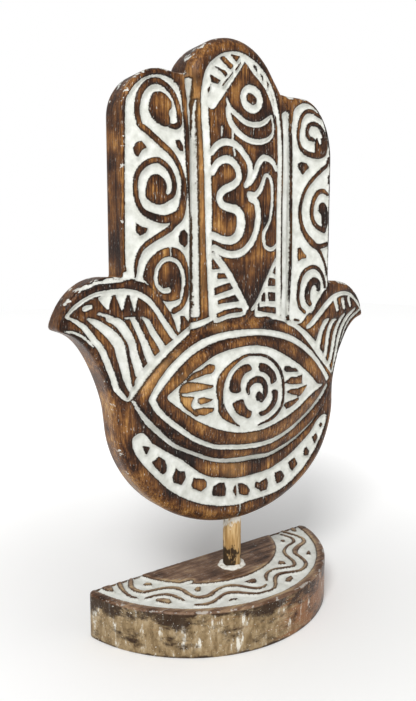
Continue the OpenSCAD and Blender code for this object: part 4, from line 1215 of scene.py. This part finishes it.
@dataclass(frozen=True)
class PegWood(Finish):
    """Planed softwood dowel: splashes of the wash high up, dark stain low down on the left."""

    bare: tuple[tuple[float, str], ...]
    splash: str
    stain: str
    grain: Speckle = Speckle((0.9, 0.9, 0.06), 4.0, 0.6)
    blots: Speckle = Speckle((0.25, 0.25, 0.12), 4.0, 0.65)
    # Over the height in millimetres
    high: Step = Step(38.0, 52.0, -0.12, 0.14)
    low: Step = Step(42.0, 33.0, -0.2, 0.12)
    # Over the place across
    left: Step = Step(3.2, 0.6, -0.14, 0.06)
    splash_share: Step = Step(0.54, 0.62, 0.0, 0.9)
    stain_share: Step = Step(0.5, 0.58, 0.0, 0.95)
    gloss: Step = Step(0.3, 0.7, 0.55, 0.7)
    relief: float = 0.25

    def material(self) -> bpy.types.Material:
        """Makes the finish: fine grain along the peg, then the splashes and the stain."""
        material, tree, place = self.start()
        grain = self.grain.on(tree, place)
        blots = self.blots.on(tree, place)
        height = add(tree, "SeparateXYZ", place, out="Z")
        left = self.left.on(tree, add(tree, "SeparateXYZ", place, out="X"))
        white = self.splash_share.on(tree, total(tree, blots, self.high.on(tree, height)))
        dark = self.stain_share.on(tree, total(tree, blots, self.low.on(tree, height), left))
        wood = mixed(tree, white, add(tree, "ValToRGB", grain, stops=self.bare), self.splash)
        wood = mixed(tree, dark, wood, self.stain)
        self.close(tree, wood, self.gloss.on(tree, grain), grain, self.relief)
        return material


@dataclass(frozen=True)
class DriedPaint(Finish):
    """White glue and wash, dried in lumps, with wood dust in it."""

    tones: tuple[tuple[float, str], ...]
    lumps: Speckle = Speckle((0.6, 0.6, 0.6), 4.0, 0.65)
    gloss: Step = Step(0.3, 0.7, 0.6, 0.8)
    relief: float = 0.4

    def material(self) -> bpy.types.Material:
        """Makes the finish: chalky white with dull brownish specks."""
        material, tree, place = self.start()
        lumps = self.lumps.on(tree, place)
        colour = add(tree, "ValToRGB", lumps, stops=self.tones)
        self.close(tree, colour, self.gloss.on(tree, lumps), lumps, self.relief)
        return material


CARVED_WOOD = WashedCarving(
    name="carved_wood_washed",
    stain=(
        (0.37, "#120905"),
        (0.44, "#2e190d"),
        (0.505, "#54341b"),
        (0.565, "#7f552a"),
        (0.655, "#bb9154"),
    ),
    wash=((0.3, "#babbb3"), (0.5, "#cccdc6"), (0.7, "#dbdcd7")),
    line="#180d07",
    line_share=Step(0.12, 0.85, 0.85, 0.0, soft=True),
    chipped=Step(0.6, 0.63, 0.0, 0.9),
    heart=Step(0.8, 3.2, -0.015, 0.02, soft=True),
    rubbed_and_highlit_tone="#b98f5a",
    pore_and_wall_shade="#8d8577",
    grain=Speckle((1.0, 1.0, 0.06), 6.0, 0.74),
    pores=Speckle((2.0, 2.0, 0.4), 2.0, 0.5),
)
FOOT_TOP = WashedCarving(
    name="foot_top",
    stain=((0.36, "#2e1f15"), (0.45, "#594030"), (0.53, "#806550"), (0.64, "#b09774")),
    wash=((0.3, "#c6c7bf"), (0.5, "#d6d7d0"), (0.7, "#e2e3de")),
    line="#33221a",
    line_share=Step(0.12, 0.85, 0.8, 0.0, soft=True),
    chipped=Step(0.6, 0.63, 0.0, 0.4),
    heart=Step(0.8, 3.2, 0.06, -0.02, soft=True),
    rubbed_and_highlit_tone="#a58a6c",
    pore_and_wall_shade="#8d8577",
    grain=Speckle((0.035, 0.5, 0.5), 6.0, 0.74),
    pores=Speckle((0.28, 1.5, 1.5), 2.0, 0.5),
)
FOOT_WOOD = FootWood(
    name="foot_wood_bare",
    top=FOOT_TOP,
    bare=((0.28, "#4d3d2b"), (0.42, "#7f6a4b"), (0.55, "#9b8665"), (0.72, "#b5a488")),
    ruddy="#84502a",
    smear="#e6e3d8",
    burnt="#24120a",
)
PEG_WOOD = PegWood(
    name="peg_wood_bare",
    bare=((0.34, "#8c6a3f"), (0.48, "#b8935f"), (0.62, "#d2b587")),
    splash="#e9e6dc",
    stain="#2a1f17",
)
WHITE_PAINT = DriedPaint(
    name="white_paint",
    tones=((0.3, "#9a8f7d"), (0.45, "#dcd9ce"), (0.7, "#efeee8")),
)


def dress(made: bpy.types.Object, finish: Finish, node: str) -> None:
    """Gives a piece its finish, hangs it under the root, and hides the solid that it stands for.

    Args:
        made: the piece.
        finish: its finish.
        node: the solid that it replaces.
    """
    made.data.materials.append(finish.material())
    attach(made, "root")
    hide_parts(node)
    made.data.calc_loop_triangles()
    LOG.info("%s: %d triangles, %s", made.name, len(made.data.loop_triangles), finish.name)


# Round patches of the hand's stain: across, up, radius and strength
# The four patches on the lid's upper left, from (-58, 81) to (-40, 93), are a painted highlight; the
# others are rubbed wear
RUBBED_AND_HIGHLIT = (
    (-53, 84, 5, 0.7), (-15, 107, 4, 0.6), (-3, 31, 7, 0.5), (5, 50, 6, 0.5), (-10, 35, 4, 0.4),
    (-33, 74, 9, 0.85), (-58, 81, 5, 0.8), (-48, 89, 4, 0.7), (-40, 93, 3, 0.5),
)
POOLED = (
    (-70, 75, 13, 0.5), (-62, 50, 13, 0.5), (-42, 129, 8, 1.1), (-98, 112, 7, 0.8), (-34, 38, 16, 0.5),
    (6, 122, 11, 1.0), (14, 103, 8, 1.0), (61, 163, 7, 0.9), (54, 122, 8, 0.8), (-50, 62, 12, 0.3),
    (14, 165, 9, 0.3), (-4, 72, 6, 0.3), (18, 60, 14, 0.3),
)


@dataclass(frozen=True)
class Hand:
    """The sawn, rounded and carved board of the hand."""

    bottom: float = 52.0
    face_y: float = 2.7
    back_y: float = 21.7
    height: float = 247.0
    # Palm and thumbs
    palm_half: float = 72.5
    palm_drop: float = 60.0
    palm_lean: float = 4.5
    palm_round: float = 7.0
    finger_round: float = 2.5
    thumb_reach: float = 98.5
    thumb_tip: float = 107.5
    thumb_top: float = 131.0
    right_thumb_drop: float = 2.5
    # The thumbs' faces fall back by this, in soft steps across and up
    thumb_fall: float = 2.0
    fall_across: tuple[float, float] = (68.0, 98.0)
    fall_from: tuple[float, float] = (70.0, 90.0)
    fall_to: tuple[float, float] = (150.0, 135.0)
    thumb_thin: float = 3.0
    thin_across: tuple[float, float] = (75.0, 97.0)
    # Side fingers
    finger_half: float = 66.5
    finger_top: float = 226.0
    shoulder_w: float = 22.0
    left_shoulder: float = 22.0
    right_shoulder: float = 31.0
    # Middle finger
    mid_half: float = 31.5
    mid_arch: float = 35.0
    mid_raise: float = 3.5
    mid_round: float = 6.5
    mid_shift: float = 3.0
    mid_lean: float = -7.5
    lean_from: float = 207.0
    lean_run: float = 28.0
    cushion_rise: float = 0.3
    cushion_run: tuple[float, float] = (6.0, 26.0)
    # Valleys beside it, from valley_low up to a little over the side fingers
    valley_d: float = 2.5
    valley_half: float = 2.5
    valley_low: float = 95.0
    valley_past: float = 4.0
    # The finger's edge is followed down to here, below the end of its cushion
    mid_root: float = 60.0
    # Eye
    eye_x: float = 1.0
    eye_h: float = 73.0
    eye_half: float = 66.0
    eye_up: float = 36.0
    eye_down: float = 41.0
    eye_rise: float = 6.5
    eye_crown: float = 0.85
    lid_step: float = 2.0
    lid_run: float = 1.8
    # Unevenness of the board, of the gouge and of the knife's edge
    swell: Ripple = Ripple(0.22, 40, 3)
    tooling: Ripple = Ripple(0.1, 11, 4)
    knife: Ripple = Ripple(0.14, 3.4, 7)
    # How far the front's rings reach in at the middle finger's top, over its rounder edge
    top_reach: float = 5.0
    back_round: float = 3.5
    cut: float = 1.4
    spacing: float = 0.72
    point_gap: float = 0.85
    softness: float = 0.9
    # Stain rubbed off beside the middle finger: how much, how wide, and from where to where
    flank_wear: float = 0.55
    flank_width: float = 2.8
    flank_inset: float = 1.5
    flank_from: tuple[float, float] = (112.0, 120.0)
    flank_to: tuple[float, float] = (238.0, 226.0)
    # Points further back than front_layer are on the sawn edge, stained darkest at the fingers' left
    sawn_stain: float = 0.4
    front_layer: float = 3.0

    def mid_line(self, h: np.ndarray) -> np.ndarray:
        """Sideways place of the middle finger: its shift, plus the lean times a soft step."""
        return self.mid_shift + self.mid_lean * smooth((h - self.lean_from) / self.lean_run)

    def mid_width(self, h: np.ndarray) -> np.ndarray:
        """Half the middle finger's width: even up to its arch, then a quarter ellipse."""
        past = np.maximum(h - (self.height - self.mid_arch), 0) / self.mid_arch
        return self.mid_half * np.sqrt(np.clip(1 - past**2, 0, 1))

    def side(self, sign: int, shoulder: float) -> np.ndarray:
        """One side of the outline from the bottom up: ellipse arcs, two cubic curves and the side
        finger's edge, with the palm leaning to the right in a soft step below the thumbs.

        Args:
            sign: 1 for the right side and -1 for the left.
            shoulder: height of that side finger's round shoulder.

        Returns:
            The points, measured outwards from the middle.
        """
        turn = np.linspace(0, np.pi / 2, 40)
        top = self.thumb_top - (self.right_thumb_drop if sign > 0 else 0.0)
        palm = np.stack([self.palm_half * np.sin(turn), self.palm_drop * (1 - np.cos(turn))], axis=1)
        t = np.linspace(0, 1, 24)[:, None]
        weights = [(1 - t) ** 3, 3 * (1 - t) ** 2 * t, 3 * (1 - t) * t**2, t**3]
        under = [
            (self.palm_half + 0.4, self.palm_drop + 8),
            (self.palm_half + 2, self.palm_drop + 20),
            (self.palm_half + 9, self.thumb_tip - 6),
            (self.thumb_reach - 4.5, self.thumb_tip - 1.5),
        ]
        over = [
            (self.thumb_reach, self.thumb_tip),
            (self.thumb_reach - 1, self.thumb_tip + 12),
            (self.thumb_reach - 12, top),
            (self.finger_half + 5, top),
        ]
        below, above = (
            sum(w * np.array(p) for w, p in zip(weights, points)) for points in (under, over)
        )
        lower = np.vstack([palm, below])
        lower[:, 0] += sign * self.palm_lean * (1 - smooth(lower[:, 1] / (self.thumb_tip - 1.5)))
        edge = np.array([(self.finger_half, top - 0.5), (self.finger_half, top + 6)])
        middle = np.array([self.finger_half - self.shoulder_w, self.finger_top - shoulder])
        rounding = middle + np.stack([self.shoulder_w * np.cos(turn), shoulder * np.sin(turn)], axis=1)
        lean = sign * self.mid_line(np.array([self.finger_top]))
        notch = np.column_stack([self.mid_half + 4 + lean, [self.finger_top - 0.5]])
        return np.vstack([lower, above, edge, rounding, notch, self.mid_side(sign, self.finger_top)])

    def mid_side(self, sign: int, low: float) -> np.ndarray:
        """The middle finger's edge above a height, on one side: straight, then a quarter ellipse."""
        spring = self.height - self.mid_arch
        start = np.arcsin(max(0.0, (low - spring) / self.mid_arch))
        turn = np.linspace(start, np.pi / 2, 40)
        h = np.concatenate([np.arange(low, spring, 4.0), spring + self.mid_arch * np.sin(turn)])
        return np.stack([self.mid_width(h) + sign * self.mid_line(h), h], axis=1)

    def outline(self) -> np.ndarray:
        """The hand's edge, anticlockwise from the bottom, softened as a saw and sandpaper leave it."""
        left = self.side(-1, self.left_shoulder)[::-1] * (-1, 1)
        whole = np.vstack([self.side(1, self.right_shoulder), left[1:-1]])
        return resample(softened(whole, self.softness), self.point_gap)

    def edge_round(self, h: np.ndarray) -> np.ndarray:
        """Radius of the front edge: the palm's, turning to the fingers' in a soft step."""
        share = rise(h, self.palm_drop, self.thumb_tip)
        return self.palm_round + (self.finger_round - self.palm_round) * share

    def fall(self, edge: np.ndarray, radius: np.ndarray | float) -> np.ndarray:
        """Drop of a rounded edge: r less the root of r squared less (r - d) squared, d inside it."""
        return radius - np.sqrt(np.maximum(radius**2 - (radius - np.clip(edge, 0, radius)) ** 2, 0))

    def face(self, places: np.ndarray, edge: np.ndarray) -> np.ndarray:
        """Y of the uncarved front: the board with its round edge, the valleys, the middle finger's
        cushion, and the eye, which rises with the power eye_crown of (1 - a) - b / (1 - a), where
        a and b are the squares of the shares that a place is out along and across the almond.

        Args:
            places: places on the front.
            edge: how far each is from the hand's edge.

        Returns:
            The Y of each place.
        """
        x, h = places.T
        thumb = rise(np.abs(x), *self.fall_across) * rise(h, *self.fall_from) * rise(h, *self.fall_to)
        board = self.face_y + self.thumb_fall * thumb
        gap = self.mid_width(h) - np.abs(x - self.mid_line(h))
        beside = (h > self.valley_low) & (h < self.finger_top + self.valley_past)
        valley = self.face_y + self.valley_d * np.clip(1 - np.abs(gap) / self.valley_half, 0, 1)
        board = np.where(beside, np.maximum(board, valley), board) + self.fall(edge, self.edge_round(h))
        right, left = (self.mid_side(sign, self.mid_root) for sign in (1, -1))
        mid_edge = np.vstack([right, left[::-1][1:] * (-1, 1)])
        within = -loop_distance(places, mid_edge)
        cushion = self.face_y - self.mid_raise + self.fall(within, self.mid_round)
        cushion -= self.cushion_rise * rise(within, *self.cushion_run)
        surface = np.where((within > 0) & (h > self.valley_low), np.minimum(board, cushion), board)
        along = np.clip(((x - self.eye_x) / self.eye_half) ** 2, 0, 0.999)
        across = ((h - self.eye_h) / np.where(h > self.eye_h, self.eye_up, self.eye_down)) ** 2
        crown = np.clip((1 - along) - across / (1 - along), 0, 1) ** self.eye_crown
        eye = self.face_y - self.lid_step - self.eye_rise * crown
        lid_gap = loop_distance(places, curve(np.array(LID_EDGE), closed=True))
        lid = smooth(0.5 - lid_gap / self.lid_run)
        surface = surface * (1 - lid) + np.minimum(eye, surface + self.lid_step) * lid
        return surface + self.swell.at(places) + self.tooling.at(places)

    def back(self, places: np.ndarray) -> np.ndarray:
        """Y of the back: flat, and nearer in a soft step towards the thumbs' tips."""
        return self.back_y - self.thumb_thin * rise(np.abs(places[:, 0]), *self.thin_across)

    def field(self, places: np.ndarray) -> np.ndarray:
        """The carving's distances, with the wobble of the knife."""
        return carved(places, CARVING) + self.knife.at(places)

    def wear_and_highlight(self, x: np.ndarray, h: np.ndarray) -> np.ndarray:
        """How much the stain is lightened, by rubbing and by a highlight painted on the lid, less than
        nothing where it pooled.

        It is the largest of the rubbed patches, four of which are the lid's painted highlight, and of a
        band along the middle finger's left edge, less the largest of the pooled ones. Each fades as
        exp(-d^2 / r^2) with the distance d.

        Args:
            x: sideways places.
            h: heights over the palm's bottom.

        Returns:
            The wear at each place.
        """
        spots = [
            [share * np.exp(-((x - cx) ** 2 + (h - ch) ** 2) / r**2) for cx, ch, r, share in kind]
            for kind in (RUBBED_AND_HIGHLIT, POOLED)
        ]
        beside = x - self.mid_line(h) + self.mid_half - self.flank_inset
        beside = np.exp(-((beside / self.flank_width) ** 2))
        flank = self.flank_wear * beside * rise(h, *self.flank_from) * rise(h, *self.flank_to)
        return np.maximum(np.max(spots[0], axis=0), flank) - np.max(spots[1], axis=0)

    def build(self) -> bpy.types.Object:
        """Makes and dresses the hand."""
        outline = self.outline()
        middle = np.abs(outline[:, 0] - self.mid_shift) < self.mid_half + self.valley_past
        top = (outline[:, 1] > self.finger_top) & middle
        slab = CarvedSlab(
            outline,
            np.where(top, self.top_reach, self.edge_round(outline[:, 1])),
            self.face,
            self.field,
            self.back,
            back_round=self.back_round,
            cut=self.cut,
            spacing=self.spacing,
        )
        shell = slab.shell()
        across, up, depth = shell.points.T
        sawn = -self.sawn_stain * ((across < 0) & (up > self.thumb_top))
        front = depth < self.face_y + self.front_layer
        shell.values["wear_and_highlight"] = np.where(front, self.wear_and_highlight(across, up), sawn)
        shell.points = np.column_stack([across, depth, up + self.bottom])
        made = shell.to_object("hand_carved")
        dress(made, CARVED_WOOD, "hand")
        return made


@dataclass(frozen=True)
class Foot:
    """The half-round foot with its band of waves and dots."""

    radius: float = 77.8
    depth: float = 63.4
    top: float = 23.5
    corner: float = 4.0
    rim: float = 4.8
    band: float = 24.7
    # The plain half disc was cut a little right of the middle
    disc_shift: float = 1.8
    cut: float = 1.2
    wall: float = 0.9
    edge_round: float = 0.9
    edge_reach: float = 1.6
    back_round: float = 0.8
    spacing: float = 0.62
    point_gap: float = 0.8
    softness: float = 0.3
    knife: Ripple = Ripple(0.16, 3.0, 9)
    sanding: Ripple = Ripple(0.06, 18, 21)
    # Worn patch in the middle: across, away, how much, and the distances at which it starts and is full
    patch: tuple[float, float, float] = (3.0, 12.0, 0.3)
    patch_run: tuple[float, float] = (15.0, 3.0)

    @property
    def arc_y(self) -> float:
        """Y of the round front's centre."""
        return self.radius - self.depth / 2

    def at(self, radius: np.ndarray | float, turn: np.ndarray | float) -> np.ndarray:
        """Places at a radius and at an angle in degrees from the front."""
        angle = np.radians(turn)
        return np.stack([radius * np.sin(angle), self.arc_y - radius * np.cos(angle)], axis=-1)

    def outline(self) -> np.ndarray:
        """The foot's edge, anticlockwise: a large arc, and a straight back with two round corners."""
        inner = self.radius - self.corner
        span = np.degrees(np.arccos((self.arc_y - self.depth / 2 + self.corner) / inner))
        front = self.at(self.radius, np.linspace(-span, span, 200))
        centre = self.at(inner, span)
        turn = np.radians(np.linspace(span - 90, 90, 12))
        right = centre + self.corner * np.stack([np.cos(turn), np.sin(turn)], axis=1)
        left = right[::-1] * (-1, 1)
        whole = np.vstack([front, right[1:], left[:-1]])
        return resample(softened(whole, self.softness), self.point_gap)

    def marks(self) -> tuple[Mark, ...]:
        """The band between rim and plain half disc, then the waves and dots that stand in it."""
        turns = np.arange(-92.0, 92.1, 2.0)
        disc = self.at(self.radius - self.rim - self.band, turns[::-1]) + (self.disc_shift, 0.0)
        loop = np.vstack([self.at(self.radius - self.rim, turns), disc])
        return (Mark(Level.SUNK, tuple(map(tuple, loop)), curved=False), *FOOT_MARKS)

    def face(self, places: np.ndarray, edge: np.ndarray) -> np.ndarray:
        """Depth below the top: a small rounding at the edge, plus the unevenness of sanding."""
        rounding = self.edge_round * np.clip(1 - edge / self.edge_round, 0, 1) ** 2
        return rounding + self.sanding.size + self.sanding.at(places)

    def build(self) -> bpy.types.Object:
        """Makes and dresses the foot."""
        outline = self.outline()
        marks = self.marks()
        slab = CarvedSlab(
            outline,
            np.full(len(outline), self.edge_reach),
            self.face,
            lambda places: carved(places, marks) + self.knife.at(places),
            lambda places: np.full(len(places), self.top),
            back_round=self.back_round,
            cut=self.cut,
            spacing=self.spacing,
            wall=self.wall,
        )
        shell = slab.shell()
        across, up, depth = shell.points.T
        x, y, most = self.patch
        shell.values["wear_and_highlight"] = most * rise(np.hypot(across - x, up - y), *self.patch_run)
        shell.points = np.column_stack([across, up, self.top - depth])
        made = shell.to_object("foot_carved")
        dress(made, FOOT_WOOD, "base")
        return made


@dataclass(frozen=True)
class Peg:
    """The round peg between foot and hand, planed by hand and so not quite round."""

    x: float = 3.5
    y: float = 12.7
    radius: float = 5.0
    low: float = 8.5
    high: float = 77.0
    flatness: float = 0.012
    around: int = 64
    rows: int = 90
    # Shares of the radius at the rounded ends
    ends: tuple[float, float] = (0.4, 0.9)

    def build(self) -> bpy.types.Object:
        """Makes and dresses the peg: radius times 1 - flatness (1 + flats) over angle and height."""
        around = self.around
        turn = np.linspace(0, 2 * np.pi, around, endpoint=False)
        body_rows = np.linspace(self.low, self.high, self.rows)
        height = np.concatenate([[self.low, self.low], body_rows, [self.high, self.high]])
        share = np.concatenate([self.ends, np.ones(self.rows), self.ends[::-1]])
        t, z = np.meshgrid(turn, height)
        # Seven planed flats that twist a little, and slow waves up the peg
        flats = 0.6 * np.cos(7 * t + 0.05 * z) + 0.4 * np.sin(0.31 * z + 2 * t)
        radius = self.radius * share[:, None] * (1 - self.flatness * (1 + flats))
        body = np.stack([self.x + radius * np.cos(t), self.y + radius * np.sin(t), z], axis=-1)
        body = body.reshape(-1, 3)
        poles = np.array([(self.x, self.y, self.low), (self.x, self.y, self.high)])
        steps = range(len(height) - 1)
        quads = np.vstack([bridge(k * around, (k + 1) * around, around) for k in steps])
        i = np.arange(around)
        j = (i + 1) % around
        last = len(body) - around
        low_fan = np.stack([j, i, np.full(around, len(body))], axis=1)
        high_fan = np.stack([last + i, last + j, np.full(around, len(body) + 1)], axis=1)
        shell = Shell(np.vstack([body, poles]), quads, np.vstack([low_fan, high_fan]), {})
        made = shell.to_object("peg_planed")
        dress(made, PEG_WOOD, "peg")
        return made


@dataclass(frozen=True)
class GlueBead:
    """The lumpy ring of glue and wash where the peg enters the foot."""

    x: float = 3.5
    y: float = 12.7
    foot_top: float = 23.5
    inner: float = 4.85
    width: float = 3.8
    high: float = 1.6
    sunk_in: float = 0.1
    around: int = 96
    section: int = 14
    # Mean shares of width and rise, and their waves round the bead: size, count and phase
    mean_spread: float = 0.8
    spread: tuple[tuple[float, int, float], ...] = ((0.12, 2, 0.6), (0.06, 5, 0.0), (0.05, 9, 2.0))
    mean_lift: float = 0.72
    lift: tuple[tuple[float, int, float], ...] = ((0.2, 3, 1.0), (0.08, 7, 0.0))

    def build(self) -> bpy.types.Object:
        """Makes and dresses the bead: a half-drop section whose width and height wander.

        Its height over the run from peg to rim is the root of 1 - run^1.6, times 1 - 0.15 run.
        """
        turn = np.linspace(0, 2 * np.pi, self.around, endpoint=False)
        spread, lift = (
            sum((size * np.sin(count * turn + phase) for size, count, phase in waves), mean)
            for mean, waves in ((self.mean_spread, self.spread), (self.mean_lift, self.lift))
        )
        run = np.linspace(0, 1, self.section)[::-1]
        out = np.concatenate([[0.0], run, [0.0]])
        up = np.concatenate([[0.0], np.sqrt(1 - run**1.6) * (1 - 0.15 * run), [0.5]])
        o, s = np.meshgrid(out, spread)
        u, v = np.meshgrid(up, lift)
        radius = self.inner + self.width * o * s
        z = self.foot_top - self.sunk_in + self.high * u * v
        t = np.repeat(turn[:, None], radius.shape[1], axis=1)
        body = np.stack([self.x + radius * np.cos(t), self.y + radius * np.sin(t), z], axis=-1)
        size = body.shape[1]
        count = self.around
        rings = np.vstack([bridge(k * size, ((k + 1) % count) * size, size) for k in range(count)])
        shell = Shell(body.reshape(-1, 3), rings[:, ::-1], np.zeros((0, 3), int), {})
        made = shell.to_object("glue_ring")
        dress(made, WHITE_PAINT, "glue_bead")
        return made


@dataclass(frozen=True)
class Studio:
    """Pale floor, soft lights, and the camera at the photograph's place."""

    eye: tuple[float, float, float] = (-209.7, -257.4, 184.4)
    heading: float = 36.08
    down: float = 6.79
    lens: float = 33.11
    # How strongly the white room lights the ornament; the camera sees it as plain white
    surround: float = 0.4
    # Far from the ornament the floor glows, so that it runs into the white room with no edge
    glow: float = 0.6
    glow_run: tuple[float, float] = (0.03, 0.45)
    floor_half: float = 3.0
    # What the lamps look at, and their name, place in metres, size and power
    target: tuple[float, float, float] = (0.0, 0.0, 0.15)
    lamps: tuple[tuple[str, tuple[float, float, float], float, float], ...] = (
        ("key", (-0.75, -0.65, 1.0), 0.45, 15.0),
        ("fill", (0.7, -0.9, 0.35), 0.9, 2.5),
    )

    def camera(self) -> None:
        """Puts the camera at its place, heading right of straight on and a little down."""
        data = bpy.data.cameras.new("camera")
        data.sensor_width = 36.0
        data.lens = self.lens
        data.clip_start = 0.01
        made = bpy.data.objects.new("camera", data)
        made.location = [v * MM for v in self.eye]
        made.rotation_euler = (np.radians(90 - self.down), 0.0, np.radians(-self.heading))
        bpy.context.scene.collection.objects.link(made)
        bpy.context.scene.camera = made

    def light(self, name: str, place: tuple[float, float, float], size: float, power: float) -> None:
        """Hangs a square soft light.

        Args:
            name: its name.
            place: where it hangs, in metres.
            size: length of its side in metres.
            power: watts.
        """
        data = bpy.data.lights.new(name, "AREA")
        data.size = size
        data.energy = power
        made = bpy.data.objects.new(name, data)
        made.location = place
        aim = Vector(self.target) - Vector(place)
        made.rotation_euler = aim.to_track_quat("-Z", "Y").to_euler()
        bpy.context.scene.collection.objects.link(made)

    def floor(self) -> None:
        """Lays a large pale sheet under the ornament."""
        half = self.floor_half
        corners = [(-half, -half, 0), (half, -half, 0), (half, half, 0), (-half, half, 0)]
        mesh = bpy.data.meshes.new("floor")
        mesh.from_pydata(corners, [], [(0, 1, 2, 3)])
        made = bpy.data.objects.new("floor", mesh)
        bpy.context.scene.collection.objects.link(made)
        paper = bpy.data.materials.new("paper")
        paper.use_nodes = True
        tree = paper.node_tree
        shader = tree.nodes["Principled BSDF"]
        shader.inputs["Base Color"].default_value = linear("#f6f6f5")
        shader.inputs["Roughness"].default_value = 0.9
        place = add(tree, "TexCoord", out="Object")
        away = add(tree, "VectorMath", place, operation="LENGTH", out="Value")
        glow = Step(*self.glow_run, 0.0, self.glow, soft=True).on(tree, away)
        shader.inputs["Emission Color"].default_value = linear("#ffffff")
        tree.links.new(glow, shader.inputs["Emission Strength"])
        mesh.materials.append(paper)

    def build(self) -> None:
        """Sets up camera, floor, lights and the white surroundings."""
        self.camera()
        self.floor()
        for lamp in self.lamps:
            self.light(*lamp)
        world = bpy.data.worlds.new("studio")
        world.use_nodes = True
        tree = world.node_tree
        sky = tree.nodes["Background"]
        sky.inputs["Color"].default_value = (1.0, 1.0, 1.0, 1.0)
        seen = add(tree, "LightPath", out="Is Camera Ray")
        strength = Step(0.0, 1.0, self.surround, 1.0).on(tree, seen)
        tree.links.new(strength, sky.inputs["Strength"])
        bpy.context.scene.world = world
        bpy.context.scene.view_settings.view_transform = "Standard"


def main() -> None:
    """Builds the ornament and its studio."""
    logging.basicConfig(level=logging.INFO, format="%(name)s %(message)s")
    Studio().build()
    for part in (Foot(), Peg(), GlueBead(), Hand()):
        part.build()


if __name__ == "__main__":
    main()
